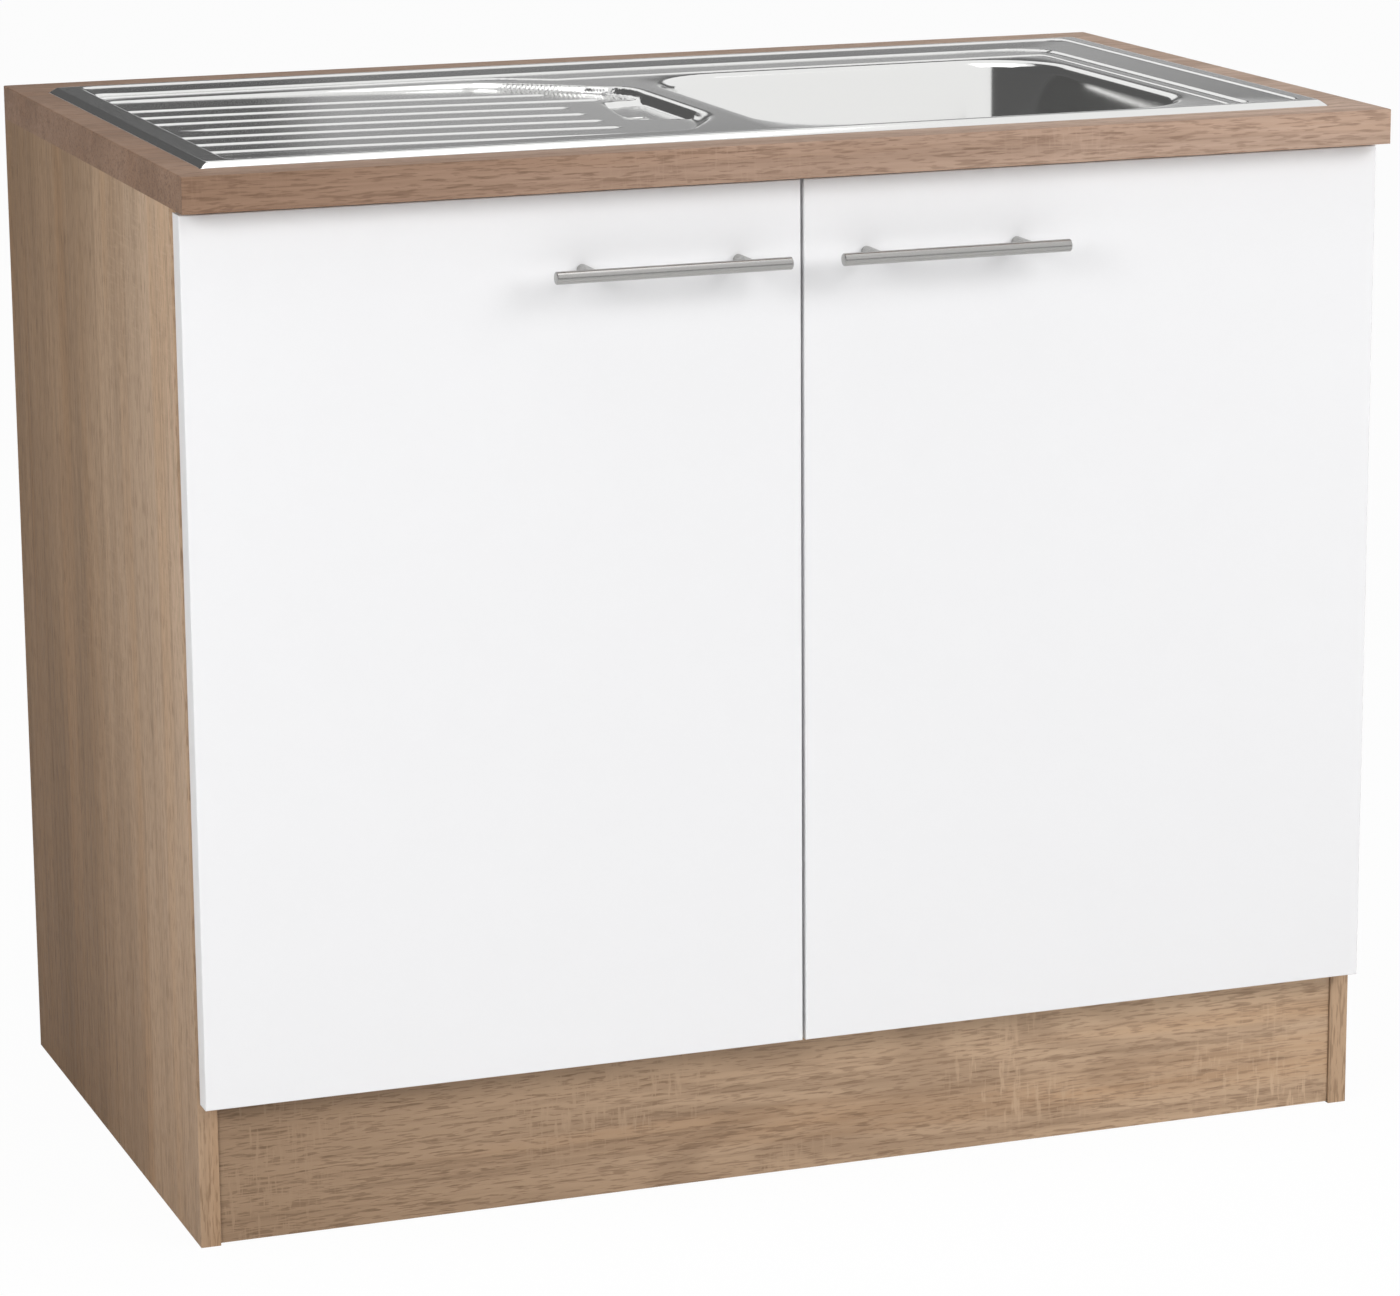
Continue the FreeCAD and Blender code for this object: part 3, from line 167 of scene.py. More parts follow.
floor.data.materials.append(floor_material)

card_material, tree, shader = new_material("card_grey")
shader.inputs["Base Color"].default_value = (0.0, 0.0, 0.0, 1.0)
shader.inputs["Specular IOR Level"].default_value = 0.0
shader.inputs["Emission Strength"].default_value = 1.0
place = add(tree, "ShaderNodeTexCoord").outputs["Object"]
across = add(tree, "ShaderNodeSeparateXYZ")
tree.links.new(place, across.inputs[0])
right = ranged(tree, across.outputs["X"], *GREY_FROM_X, interpolation="SMOOTHSTEP")
low = ranged(tree, across.outputs["Z"], *GREY_TO_Z, 1.0, 0.0, "SMOOTHSTEP")
grey = calculated(tree, "MULTIPLY", right, low)
tone = ranged(tree, grey, 0.0, 1.0, CARD_DARK, CARD_GREY)
tree.links.new(tone, shader.inputs["Emission Color"])
for name, first, last, bottom, top in CARDS:
    card_bm = bmesh.new()
    start = math.radians(first)
    foot = (CARD_RADIUS * math.cos(start), CARD_RADIUS * math.sin(start))
    seam = [card_bm.verts.new((*foot, z)) for z in (bottom, top)]
    edge = card_bm.edges.new(seam)
    bmesh.ops.spin(card_bm, geom=[*seam, edge], cent=(0, 0, 0), axis=(0, 0, 1),
                   angle=math.radians(last - first), steps=(last - first) // CARD_STEP)
    card = link_mesh(name, card_bm, CARD_SMOOTH)
    card.data.materials.append(card_material)
    card.visible_camera = False
    card.visible_diffuse = False
    card.visible_shadow = False
    card.visible_transmission = False

for name, place, aim, size, watts in LAMPS:
    lamp_data = bpy.data.lights.new(name, "AREA")
    lamp_data.shape = "SQUARE"
    lamp_data.size = size
    lamp_data.energy = watts
    lamp = bpy.data.objects.new(name, lamp_data)
    lamp.location = place
    lamp.rotation_mode = "QUATERNION"
    lamp.rotation_quaternion = (Vector(aim) - Vector(place)).to_track_quat("-Z", "Y")
    lamp.visible_glossy = name == "soft_box_top"
    bpy.context.scene.collection.objects.link(lamp)

# ---------------------------------------------------------------- boards
# Chipboard faced with printed oak decor paper: side panels with upright grain, and a plinth,
# rails and a bottom panel with grain along the unit. Fine pores, streaks and saw marks.
SAWN_OAK = {"light": (0.50, 0.358, 0.240, 1), "middle": (0.375, 0.258, 0.168, 1),
            "warm": (0.46, 0.285, 0.160, 1), "dark": (0.195, 0.122, 0.074, 1)}
UPRIGHT_OAK = {"light": (0.66, 0.485, 0.345, 1), "middle": (0.50, 0.360, 0.250, 1),
               "warm": (0.62, 0.400, 0.235, 1), "dark": (0.255, 0.165, 0.100, 1)}
PLINTH_OAK = {"light": (0.59, 0.422, 0.285, 1), "middle": (0.445, 0.305, 0.200, 1),
              "warm": (0.54, 0.335, 0.190, 1), "dark": (0.230, 0.144, 0.088, 1)}
# Painted shade on the side panels: the decor darkens towards the back and towards the bottom.
UPRIGHT_PAINTED_SHADE = (
    # axis, start, end, painted shade tint reached at the end
    ("Y", -0.26, 0.05, (0.68, 0.63, 0.56)),
    ("Y", -0.10, 0.30, (0.78, 0.73, 0.67)),
    ("Z", 0.60, 0.05, (0.76, 0.71, 0.65)),
)
# Painted shade on the plinth: the decor darkens towards its left end.
PLINTH_PAINTED_SHADE = (("X", 0.45, -0.45, (0.58, 0.55, 0.52)),)
OAK_LAYERS = {
    # name: stretch along and across the grain, detail, roughness, distortion, range
    "bands": ((0.9, 13.0, 13.0), 3.0, 0.55, 0.3, (0.36, 0.64)),
    "warmth": ((0.7, 19.0, 19.0), 2.0, 0.50, 0.3, (0.50, 0.66)),
    "streaks": ((2.5, 110.0, 110.0), 4.0, 0.62, 0.2, (0.48, 0.68)),
    "flames": ((1.6, 5.0, 5.0), 1.0, 0.50, 0.0, (0.42, 0.66)),
    "fibres": ((9.0, 330.0, 330.0), 3.0, 0.62, 0.0, (0.42, 0.66)),
    "pores": ((62.0, 640.0, 640.0), 2.0, 0.50, 0.0, (0.53, 0.63)),
    "vessels": ((34.0, 380.0, 380.0), 1.0, 0.50, 0.0, (0.60, 0.68)),
    "saw_cuts": ((310.0, 46.0, 46.0), 2.0, 0.55, 0.0, (0.52, 0.68)),
    "saw_patches": ((4.5, 7.0, 7.0), 2.0, 0.50, 0.0, (0.50, 0.64)),
}
OAK_COATS = (
    # mask, share, tone laid over the coats before it
    ("bands", 1.0, "Light"), ("warmth", 0.55, "Warm"), ("streaks", 0.42, "Dark"),
    ("figure", 1.0, "Dark"), ("fibres", 0.38, "Light"), ("pores", 0.42, "Dark"),
    ("vessels", 0.45, "Dark"), ("saw_marks", 1.0, "Light"),
)
RING_STRETCH, RING_COUNT, RING_RANGE = (1.3, 6.0, 6.0), 85.0, (-0.6, 1.0)
FIBRE_HEIGHT, FIBRE_RANGE, OAK_ROUGHNESS = 0.5, (0.3, 0.7), (0.48, 0.62)
OAK_SHEEN, OAK_RELIEF = 0.2, (0.25, 0.0003)


def noise(tree, vector, stretch, detail, rough, bend=0.0):
    """Noise whose grain is stretched by the scale of each axis."""
    scaled = add(tree, "ShaderNodeVectorMath", operation="MULTIPLY")
    scaled.inputs[1].default_value = stretch
    tree.links.new(vector, scaled.inputs[0])
    texture = add(tree, "ShaderNodeTexNoise", in_Scale=1.0, in_Detail=detail, in_Roughness=rough,
                  in_Distortion=bend)
    tree.links.new(scaled.outputs[0], texture.inputs["Vector"])
    return texture.outputs["Fac"]


def mixed(tree, share, first, second, blend="MIX"):
    """A share of the second colour over the first, each a socket or a plain colour."""
    node = add(tree, "ShaderNodeMix", data_type="RGBA", blend_type=blend)
    tree.links.new(share, node.inputs["Factor"])
    for socket, value in ((node.inputs[6], first), (node.inputs[7], second)):
        if isinstance(value, tuple):
            socket.default_value = value
        else:
            tree.links.new(value, socket)
    return node.outputs[2]


def bumped(tree, shader, height, strength, distance):
    """Relief of a material, from a height mask."""
    bump = add(tree, "ShaderNodeBump", in_Strength=strength, in_Distance=distance)
    tree.links.new(height, bump.inputs["Height"])
    tree.links.new(bump.outputs[0], shader.inputs["Normal"])


def oak_group():
    """Oak grain along X: bands, streaks, growth figure, pores and saw marks across the grain."""
    group = bpy.data.node_groups.new("oak_grain", "ShaderNodeTree")
    group.interface.new_socket("Vector", in_out="INPUT", socket_type="NodeSocketVector")
    for name in ("Light", "Middle", "Warm", "Dark"):
        group.interface.new_socket(name, in_out="INPUT", socket_type="NodeSocketColor")
    for name in ("Figure", "Saw Marks"):
        group.interface.new_socket(name, in_out="INPUT", socket_type="NodeSocketFloat")
    for name, kind in (("Color", "Color"), ("Height", "Float"), ("Roughness", "Float")):
        group.interface.new_socket(name, in_out="OUTPUT", socket_type=f"NodeSocket{kind}")
    given, made = add(group, "NodeGroupInput").outputs, add(group, "NodeGroupOutput").inputs

    fields, masks = {}, {}
    for name, (stretch, detail, rough, bend, reach) in OAK_LAYERS.items():
        fields[name] = noise(group, given["Vector"], stretch, detail, rough, bend)
        masks[name] = ranged(group, fields[name], *reach, interpolation="SMOOTHSTEP")
    swirl = noise(group, given["Vector"], RING_STRETCH, 2.0, 0.5)
    wave = calculated(group, "SINE", calculated(group, "MULTIPLY", swirl, RING_COUNT))
    rings = ranged(group, wave, *RING_RANGE, interpolation="SMOOTHSTEP")
    figure = calculated(group, "MULTIPLY", rings, given["Figure"])
    masks["figure"] = calculated(group, "MULTIPLY", figure, masks["flames"])
    cuts = calculated(group, "MULTIPLY", masks["saw_cuts"], masks["saw_patches"])
    masks["saw_marks"] = calculated(group, "MULTIPLY", cuts, given["Saw Marks"])

    body = given["Middle"]
    for name, share, tone in OAK_COATS:
        coat = calculated(group, "MULTIPLY", masks[name], share)
        body = mixed(group, coat, body, given[tone])
    group.links.new(body, made["Color"])
    raised = calculated(group, "MULTIPLY", fields["fibres"], FIBRE_HEIGHT)
    group.links.new(calculated(group, "SUBTRACT", raised, masks["pores"]), made["Height"])
    rough = ranged(group, fields["fibres"], *FIBRE_RANGE, *OAK_ROUGHNESS, "SMOOTHSTEP")
    group.links.new(rough, made["Roughness"])
    return group


OAK_GRAIN = oak_group()


def oak_material(name, tones, grain_axis, shift=(0.0, 0.0, 0.0), figure=0.3, saw_marks=0.3,
                 painted_shades=()):
    """Oak decor whose grain runs along the given axis, with painted shade that darkens and tints
    it over the board.
    """
    material, tree, shader = new_material(name)
    place = add(tree, "ShaderNodeTexCoord").outputs["Object"]
    turned = add(tree, "ShaderNodeMapping", in_Location=shift)
    if grain_axis == "Z":
        turned.inputs["Rotation"].default_value = (0.0, math.radians(90), 0.0)
    tree.links.new(place, turned.inputs["Vector"])
    grain = add(tree, "ShaderNodeGroup", node_tree=OAK_GRAIN, in_Figure=figure,
                in_Saw_Marks=saw_marks)
    tree.links.new(turned.outputs[0], grain.inputs["Vector"])
    for tone, colour in tones.items():
        grain.inputs[tone.title()].default_value = colour
    shader.inputs["Specular IOR Level"].default_value = OAK_SHEEN
    where = add(tree, "ShaderNodeSeparateXYZ")
    tree.links.new(place, where.inputs[0])
    colour = grain.outputs["Color"]
    # Painted shade: each tint is multiplied in more and more along its axis, from start to end.
    for axis, start, end, shade_tint in painted_shades:
        reach = ranged(tree, where.outputs[axis], start, end)
        colour = mixed(tree, reach, colour, (*shade_tint, 1.0), "MULTIPLY")
    tree.links.new(colour, shader.inputs["Base Color"])
    tree.links.new(grain.outputs["Roughness"], shader.inputs["Roughness"])
    bumped(tree, shader, grain.outputs["Height"], *OAK_RELIEF)
    return material


def dress(material, *names):
    """Gives the frame's own nodes their finish."""
    for name in names:
        for place in nodes[name].material_slots:
            place.material = material


# Side panels and plinth carry painted shade: darker towards the back, the bottom and the
# plinth's left end.
for side, shift_y in (("left", 0.37), ("right", 0.91)):
    dress(oak_material(f"oak_upright_painted_shade_{side}", UPRIGHT_OAK, "Z", (0.0, shift_y, 0.0), 0.2, 0.3,
                       UPRIGHT_PAINTED_SHADE), f"side_panel_{side}")
dress(oak_material("oak_plinth_painted_shade", PLINTH_OAK, "X", (0.2, 0.0, 0.13), 0.3, 0.8, PLINTH_PAINTED_SHADE),
      "plinth_board")
dress(oak_material("oak_lengthwise", SAWN_OAK, "X", (0.0, 0.2, 0.6), 0.3, 0.3),
      "bottom_panel", "front_rail", "rear_rail_upper", "rear_rail_lower")

# ---------------------------------------------------------------- joints of the carcass
# Die-cast cam discs on steel bolts with beech dowels beside them, beech blocks behind the
# plinth, and bent steel brackets and countersunk screws that hold the worktop down.
BEECH = {"light": (0.62, 0.43, 0.26, 1), "middle": (0.55, 0.37, 0.21, 1),
         "warm": (0.58, 0.38, 0.21, 1), "dark": (0.42, 0.27, 0.15, 1)}


def mottled(name, colour, roughness, spread=0.06, metallic=0.0, scale=400.0, height=0.0):
    """A finish with a fine cloudy change of tone and gloss."""
    material, tree, shader = new_material(name)
    shader.inputs["Metallic"].default_value = metallic
    place = add(tree, "ShaderNodeTexCoord").outputs["Object"]
    cloud = noise(tree, place, (scale, scale, scale), 3.0, 0.5)
    darker, lighter = ((*(min(1.0, c * (1 + change)) for c in colour), 1.0)
                       for change in (-spread, spread))
    tree.links.new(mixed(tree, cloud, darker, lighter), shader.inputs["Base Color"])
    gloss = ranged(tree, cloud, 0.0, 1.0, roughness * 0.8, roughness * 1.2)
    tree.links.new(gloss, shader.inputs["Roughness"])
    if height:
        bumped(tree, shader, cloud, 0.5, height)
    return material


zinc_plate = mottled("zinc_plate", (0.52, 0.53, 0.55), 0.32, metallic=1.0)
nickel_plate = mottled("nickel_plate", (0.60, 0.60, 0.58), 0.24, metallic=1.0)
cast_zinc = mottled("cast_zinc", (0.42, 0.42, 0.43), 0.42, metallic=1.0, scale=900.0,
                    height=0.0001)
beech_wood = oak_material("beech_wood", BEECH, "X", figure=0.0, saw_marks=0.0)
dress(beech_wood, "corner_blocks", "dowels")
dress(cast_zinc, "cam_discs")
dress(zinc_plate, "cam_bolts", "carcass_screws")
dress(nickel_plate, "worktop_brackets")

# ---------------------------------------------------------------- worktop
# A 28 mm board wrapped in the same decor, a shade warmer and paler, with the grain along the
# unit and slightly eased edges.
WORKTOP_OAK = {"light": (0.56, 0.405, 0.315, 1), "middle": (0.43, 0.300, 0.225, 1),
               "warm": (0.50, 0.335, 0.240, 1), "dark": (0.22, 0.138, 0.095, 1)}
# Painted shade on the worktop: the decor darkens towards its left end.
WORKTOP_PAINTED_SHADE = (("X", 0.40, -0.50, (0.60, 0.53, 0.465)),)
dress(oak_material("oak_worktop", WORKTOP_OAK, "X", (0.7, 0.05, 0.31), 0.1, 0.25,
                   WORKTOP_PAINTED_SHADE), "worktop")

# ---------------------------------------------------------------- sink
# One pressed stainless sheet: a bevelled rim on the worktop, ledge, terrace and deck stepping
# down, a drainer with seven round ribs, an overflow pit with three slots, and a deep bowl.
# Sizes are millimetres from the sheet's front left corner and from the top of its rim.
RIM_HIGH, RIM_BEVEL, RIM_CURVE, SHEET = 4.5, 6.0, 1.25, 0.8
LEDGE = ((23, 12), (922, 12), (922, 489), (23, 489))
TERRACE = ((24.5, 22), (883, 22), (883, 424), (856, 449), (24.5, 449))
DECK = ((26, 24), (869, 24), (869, 409), (26, 409))
APRON = ((26, 362), (497, 362), (364, 440), (26, 440))
RECESS = ((27.5, 62), (416, 62), (463, 136), (463, 329), (354, 418), (27.5, 418))
PIT = ((400, 176), (458, 167), (458, 297), (414, 284))
LEDGE_Z, LEDGE_FALL, TERRACE_Z, DECK_Z = -1.0, 0.024, -3.2, -4.0
LEDGE_STEP, TERRACE_STEP, DECK_STEP, PIT_STEP, LEDGE_FALLS_OVER = 2.5, 2.2, 2.0, 6.0, 40.0
SOFT_RIM, SOFT_STEP, SOFT_PIT = 1.5, 5.0, 3.0
RECESS_WALL, RIGHT_WALL_MORE = 4.5, 7.5
RIGHT_WALL_FROM, RIGHT_WALL_OVER = (400.0, 345.0), (40.0, 30.0)
FLOOR_Z, FLOOR_BEND, PIT_Z = (-5.2, -10.2), 1.6, -13.0
RIB_FIRST, RIB_PITCH, RIB_HALF, RIB_HIGH = 351.0, 43.7, 4.2, 1.0
RIB_ENDS = (389, 422, 379, 379, 379, 379, 419)
RIB_STARTS = (20, 20, 20, 58, 20, 20, 20)
BOWL = (481.0, 858.0, 41.0, 398.0, 75.0)
BOWL_HOLE = (474.0, 865.0, 34.0, 405.0)
BOWL_DEEP, BOWL_ROLL, BOWL_ROUND, BOWL_SLOPE = 149.2, 10.0, 40.0, math.radians(82)
WASTE_SEAT, WASTE_HOLE, SEAT_DEEP = 58.0, 45.0, 3.0
SLOT_X, SLOT_YS, SLOT_HALF_LONG, SLOT_HALF_WIDE = 419.0, (212.0, 199.0, 186.0), 8.5, 1.75
SLOT_MARGIN = (11.0, 3.5)
CORNER_STEPS, SLOT_STEPS, ROLL_STEPS, ROUND_STEPS = 16, 5, 6, 10
COLUMN_STRETCHES = (
    # start, end, spacing
    (0, 8, 1.0), (8, 20, 6), (20, 36, 0.8), (36, 348, 13), (348, 474, 2.2),
    (SLOT_X - SLOT_MARGIN[0], SLOT_X + SLOT_MARGIN[0], 2.2), (474, 851, 29), (851, 865, 2.8),
    (865, 873, 0.9), (873, 881, 4), (881, 889, 0.9), (889, 917, 7), (917, 927, 0.9),
    (927, 932, 5),
)
ROW_STRETCHES = (
    (0, 8, 1.0), (8, 16, 1.0), (16, 20, 4), (20, 27, 0.8), (27, 34, 3.5), (34, 60, 9),
    (60, 68, 0.9), (68, 82, 5), (388.7, 405, 2.6), (405, 425, 0.9), (425, 435, 3),
    (435, 453, 0.9), (453, 484, 6), (484, 494, 0.9),
)
LAST_COLUMN, LAST_ROW, EDGE_SPACING = 932, 494, 1.0
RIB_CLOSE, RIB_SPACING, GAP_SPACING, FIRST_GAP_SPACING, SLOT_SPACING = 6, 1.2, 5.3, 2.6, 2.4

sink_low, sink_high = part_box("sink_pressing")
SINK_LONG, SINK_DEEP = (sink_high.x - sink_low.x) / MM, (sink_high.y - sink_low.y) / MM


def graded(*stretches):
    """Grid lines over stretches of (start, end, spacing)."""
    lines = set()
    for start, end, spacing in stretches:
        count = max(1, round((end - start) / spacing))
        lines.update(round(start + (end - start) * i / count, 3) for i in range(count + 1))
    return sorted(lines)


def eased(value):
    """Smooth step from 0 to 1."""
    t = min(1.0, max(0.0, value))
    return t * t * (3 - 2 * t)


def inside(outline, x, y, soft):
    """Distance inside an outline whose corners are rounded."""
    distances = []
    for (x0, y0), (x1, y1) in zip(outline, outline[1:] + outline[:1]):
        run = math.hypot(x1 - x0, y1 - y0)
        distances.append(((x1 - x0) * (y - y0) - (y1 - y0) * (x - x0)) / run)
    least = min(distances)
    return least - soft * math.log(sum(math.exp((least - d) / soft) for d in distances))


def drainer_floor(x):
    """The drainer falls towards the overflow pit."""
    along = min(1.0, max(0.0, (x - RECESS[0][0]) / (RECESS[2][0] - RECESS[0][0])))
    return FLOOR_Z[0] + (FLOOR_Z[1] - FLOOR_Z[0]) * along ** FLOOR_BEND


def sheet_height(x, y):
    """Height of the pressed sheet outside the bowl."""
    edge = ((0, 0), (SINK_LONG, 0), (SINK_LONG, SINK_DEEP), (0, SINK_DEEP))
    rise = inside(edge, x, y, SOFT_RIM) / RIM_BEVEL
    z = -RIM_HIGH * (1 - min(1.0, max(0.0, rise))) ** RIM_CURVE
    ledge = inside(LEDGE, x, y, SOFT_STEP)
    deck = max(inside(DECK, x, y, SOFT_STEP), inside(APRON, x, y, SOFT_STEP))
    z += (LEDGE_Z - LEDGE_FALL * min(LEDGE_FALLS_OVER, ledge) - z) * eased(ledge / LEDGE_STEP)
    z += (TERRACE_Z - z) * eased(inside(TERRACE, x, y, SOFT_STEP) / TERRACE_STEP)
    z += (DECK_Z - z) * eased(deck / DECK_STEP)
    right = eased((x - RIGHT_WALL_FROM[0]) / RIGHT_WALL_OVER[0])
    right *= eased((RIGHT_WALL_FROM[1] - y) / RIGHT_WALL_OVER[1])
    wall = eased(inside(RECESS, x, y, SOFT_STEP) / (RECESS_WALL + RIGHT_WALL_MORE * right))
    if wall:
        ribs = 0.0
        for i, (start, end) in enumerate(zip(RIB_STARTS, RIB_ENDS)):
            past = max(start + RIB_HALF - x, x - end + RIB_HALF, 0.0)
            away = math.hypot(past, y - RIB_FIRST + i * RIB_PITCH)
            if away < RIB_HALF:
                ribs += RIB_HIGH * (1 + math.cos(math.pi * away / RIB_HALF)) / 2
        bottom = drainer_floor(x) + ribs
        pit = eased(inside(PIT, x, y, SOFT_PIT) / PIT_STEP)
        bottom += (PIT_Z - drainer_floor(x)) * pit
        z += (bottom - z) * wall
    return z


def rounded(x0, x1, y0, y1, radius, steps):
    """Points round a rectangle with rounded corners."""
    points = []
    corners = ((x1, y1, 0), (x0, y1, 90), (x0, y0, 180), (x1, y0, 270))
    for x, y, first in corners:
        cx = x - radius if x == x1 else x + radius
        cy = y - radius if y == y1 else y + radius
        for i in range(steps + 1):
            a = math.radians(first + 90 * i / steps)
            points.append((cx + radius * math.cos(a), cy + radius * math.sin(a)))
    return points


def add_ring(bm, points, z):
    """A closed loop of edges at one height."""
    ring = [bm.verts.new((x, y, z)) for x, y in points]
    return [bm.edges.new((a, b)) for a, b in zip(ring, ring[1:] + ring[:1])]


def open_hole(bm, hole, points, z):
    """Cuts a rectangle out of the sheet and closes it up to a ring of points."""
    x0, x1, y0, y1 = hole

    def within(point, slack=0.0):
        return x0 - slack < point.x < x1 + slack and y0 - slack < point.y < y1 + slack

    gone = [f for f in bm.faces if within(f.calc_center_median())]
    bmesh.ops.delete(bm, geom=gone, context="FACES")
    border = [e for e in bm.edges if len(e.link_faces) == 1
              and all(within(v.co, 0.01) for v in e.verts)]
    ring = add_ring(bm, points, z)
    bmesh.ops.triangle_fill(bm, edges=border + ring, use_beauty=True, normal=(0, 0, 1))
    return ring


def bowl_levels():
    """Inset and depth down the bowl: rolled edge, steep wall and rounded foot."""
    levels = [(BOWL_ROLL * math.sin(a), BOWL_ROLL * (1 - math.cos(a)))
              for a in (BOWL_SLOPE * i / ROLL_STEPS for i in range(1, ROLL_STEPS + 1))]
    inset, deep = levels[-1]
    wall = BOWL_DEEP - BOWL_ROUND * (1 - math.cos(BOWL_SLOPE)) - deep
    centre = inset + wall / math.tan(BOWL_SLOPE) + BOWL_ROUND * math.sin(BOWL_SLOPE)
    for i in range(ROUND_STEPS + 1):
        a = BOWL_SLOPE * (1 - i / ROUND_STEPS)
        levels.append((centre - BOWL_ROUND * math.sin(a),
                       BOWL_DEEP - BOWL_ROUND * (1 - math.cos(a))))
    return levels


slot_lines = [(y - SLOT_MARGIN[1], y + SLOT_MARGIN[1], SLOT_SPACING) for y in SLOT_YS]
rib_lines = []
for i in range(len(RIB_ENDS)):
    rib_y = RIB_FIRST - i * RIB_PITCH
    rib_lines.append((rib_y - RIB_CLOSE, rib_y + RIB_CLOSE, RIB_SPACING))
    rib_lines.append((rib_y + RIB_CLOSE, rib_y + RIB_PITCH - RIB_CLOSE,
                      GAP_SPACING if i else FIRST_GAP_SPACING))
columns = graded(*COLUMN_STRETCHES, (LAST_COLUMN, SINK_LONG, EDGE_SPACING))
rows = graded(*ROW_STRETCHES, (LAST_ROW, SINK_DEEP, EDGE_SPACING), *rib_lines, *slot_lines)

sink_bm = bmesh.new()
last_x, last_y = len(columns) - 1, len(rows) - 1
bmesh.ops.create_grid(sink_bm, x_segments=last_x, y_segments=last_y, size=0.5)
for v in sink_bm.verts:
    v.co.x = columns[round((v.co.x + 0.5) * last_x)]
    v.co.y = rows[round((v.co.y + 0.5) * last_y)]
    v.co.z = sheet_height(v.co.x, v.co.y)
for slot_y in SLOT_YS:
    hole = (SLOT_X - SLOT_MARGIN[0], SLOT_X + SLOT_MARGIN[0],
            slot_y - SLOT_MARGIN[1], slot_y + SLOT_MARGIN[1])
    around = rounded(SLOT_X - SLOT_HALF_LONG, SLOT_X + SLOT_HALF_LONG, slot_y - SLOT_HALF_WIDE,
                     slot_y + SLOT_HALF_WIDE, SLOT_HALF_WIDE - 0.01, SLOT_STEPS)
    open_hole(sink_bm, hole, around, PIT_Z)
x0, x1, y0, y1, corner = BOWL
ring = open_hole(sink_bm, BOWL_HOLE, rounded(x0, x1, y0, y1, corner, CORNER_STEPS), DECK_Z)
for inset, deep in bowl_levels():
    points = rounded(x0 + inset, x1 - inset, y0 + inset, y1 - inset, corner - inset,
                     CORNER_STEPS)
    lower = add_ring(sink_bm, points, DECK_Z - deep)
    bmesh.ops.bridge_loops(sink_bm, edges=ring + lower)
    ring = lower
waste_x, waste_y = (x0 + x1) / 2, (y0 + y1) / 2
for radius, deep in ((WASTE_SEAT, 0.0), (WASTE_SEAT, SEAT_DEEP), (WASTE_HOLE, SEAT_DEEP)):
    points = rounded(waste_x - radius, waste_x + radius, waste_y - radius, waste_y + radius,
                     radius, CORNER_STEPS)
    circle = [p for i, p in enumerate(points) if (i + 1) % (CORNER_STEPS + 1)]
    lower = add_ring(sink_bm, circle, DECK_Z - BOWL_DEEP - deep)
    if deep:
        bmesh.ops.bridge_loops(sink_bm, edges=ring + lower)
    else:
        bmesh.ops.triangle_fill(sink_bm, edges=ring + lower, use_beauty=True,
                                normal=(0, 0, 1))
    ring = lower
bmesh.ops.remove_doubles(sink_bm, verts=sink_bm.verts, dist=0.005)
bmesh.ops.recalc_face_normals(sink_bm, faces=sink_bm.faces)
if sum(f.normal.z * f.calc_area() for f in sink_bm.faces) < 0:
    bmesh.ops.reverse_faces(sink_bm, faces=sink_bm.faces)
bmesh.ops.scale(sink_bm, vec=(MM, MM, MM), verts=sink_bm.verts)
bmesh.ops.translate(sink_bm, vec=(sink_low.x, sink_low.y, sink_high.z), verts=sink_bm.verts)
sink = link_mesh("sink_sheet", sink_bm, 50)
gauge = sink.modifiers.new("sheet", "SOLIDIFY")
gauge.thickness, gauge.offset = SHEET * MM, -1.0


def steel_material(name, colour, roughness, grain=(3.0, 260.0, 260.0), mark=0.00002):
    """Satin steel with fine brushing along X."""
    material, tree, shader = new_material(name)
    shader.inputs["Metallic"].default_value = 1.0
    shader.inputs["Base Color"].default_value = (*colour, 1.0)
    place = add(tree, "ShaderNodeTexCoord").outputs["Object"]
    brush = noise(tree, place, grain, 4.0, 0.6)
    gloss = ranged(tree, brush, 0.0, 1.0, roughness * 0.75, roughness * 1.25)
    tree.links.new(gloss, shader.inputs["Roughness"])
    bumped(tree, shader, brush, 0.3, mark)
    return material


sink_steel = steel_material("sink_steel", (0.80, 0.80, 0.79), 0.12)
sink.data.materials.append(sink_steel)
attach(sink, "carcass")
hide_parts("sink_pressing")

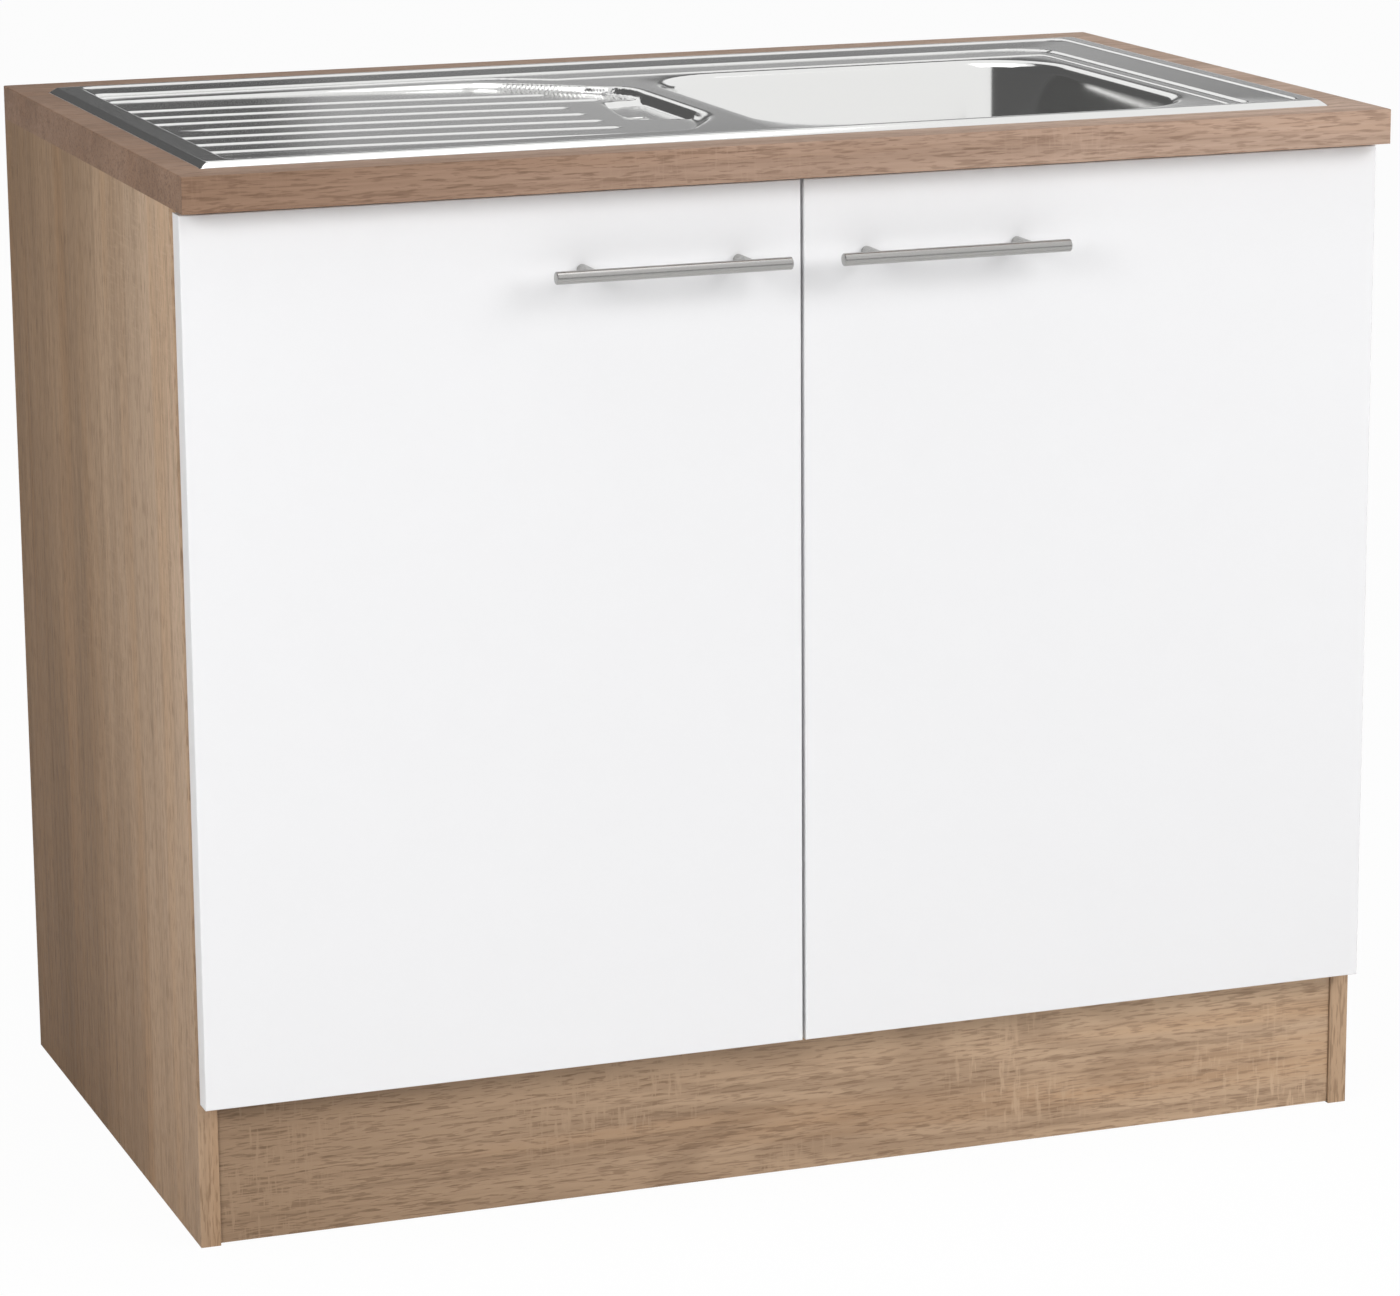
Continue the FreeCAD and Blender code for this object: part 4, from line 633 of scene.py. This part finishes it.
# ---------------------------------------------------------------- sink seal and clips
# A black foam strip under the rim, and eight steel lugs whose claws are screwed up against the
# worktop from below.
black_foam = mottled("black_foam", (0.02, 0.02, 0.02), 0.9, 0.3, scale=1500.0, height=0.0003)
dress(black_foam, "sink_seal")
dress(nickel_plate, "clip_lugs", "clip_claws")
dress(zinc_plate, "clip_screws")

# ---------------------------------------------------------------- waste and overflow
# Pressed steel flange and lift-out basket over a moulded housing, with rubber gaskets, and a
# plastic overflow pipe with ribbed union nuts.
waste_plastic = mottled("waste_plastic", (0.80, 0.80, 0.78), 0.38, 0.02, scale=120.0)
flange_steel = steel_material("flange_steel", (0.62, 0.62, 0.61), 0.16)
gasket_rubber = mottled("gasket_rubber", (0.04, 0.04, 0.042), 0.7, 0.2, scale=900.0,
                        height=0.0001)
dress(flange_steel, "strainer_flange", "strainer_basket")
dress(gasket_rubber, "housing_gasket", "overflow_gasket")
dress(waste_plastic, "strainer_housing", "overflow_elbow", "overflow_pipe", "overflow_nuts")
dress(zinc_plate, "strainer_screw")

# ---------------------------------------------------------------- doors
# 18 mm boards with a smooth white foil that wraps the eased edges, and soft clear dots on the
# back that meet the bottom panel and the front rail.
door_white = mottled("door_white", (0.86, 0.86, 0.87), 0.34, 0.004, scale=3.0)
dress(door_white, "door_left", "door_right")
clear_dot = mottled("clear_dot", (0.72, 0.72, 0.70), 0.3, 0.03)
dress(clear_dot, "door_bumpers_left", "door_bumpers_right")

# ---------------------------------------------------------------- handles
# A brushed steel bar with chamfered ends on two turned posts, screwed on from inside the door.
bar_steel = steel_material("bar_steel", (0.42, 0.415, 0.405), 0.27, (6.0, 900.0, 900.0),
                           0.00003)
for side in ("left", "right"):
    dress(bar_steel, f"handle_bar_{side}", f"handle_posts_{side}")
    dress(zinc_plate, f"handle_screws_{side}")

# ---------------------------------------------------------------- hinges
# Nickel-plated cup hinges: a cup let into the door, two pressed links, and an arm on a plate
# screwed to the side panel.
for side in ("left", "right"):
    dress(nickel_plate, *(f"hinge_{part}_{side}" for part in (
        "cups", "cup_axles", "outer_links", "inner_links", "arms", "arm_axles", "plates")))
    dress(zinc_plate, f"hinge_cup_screws_{side}", f"hinge_arm_screws_{side}")
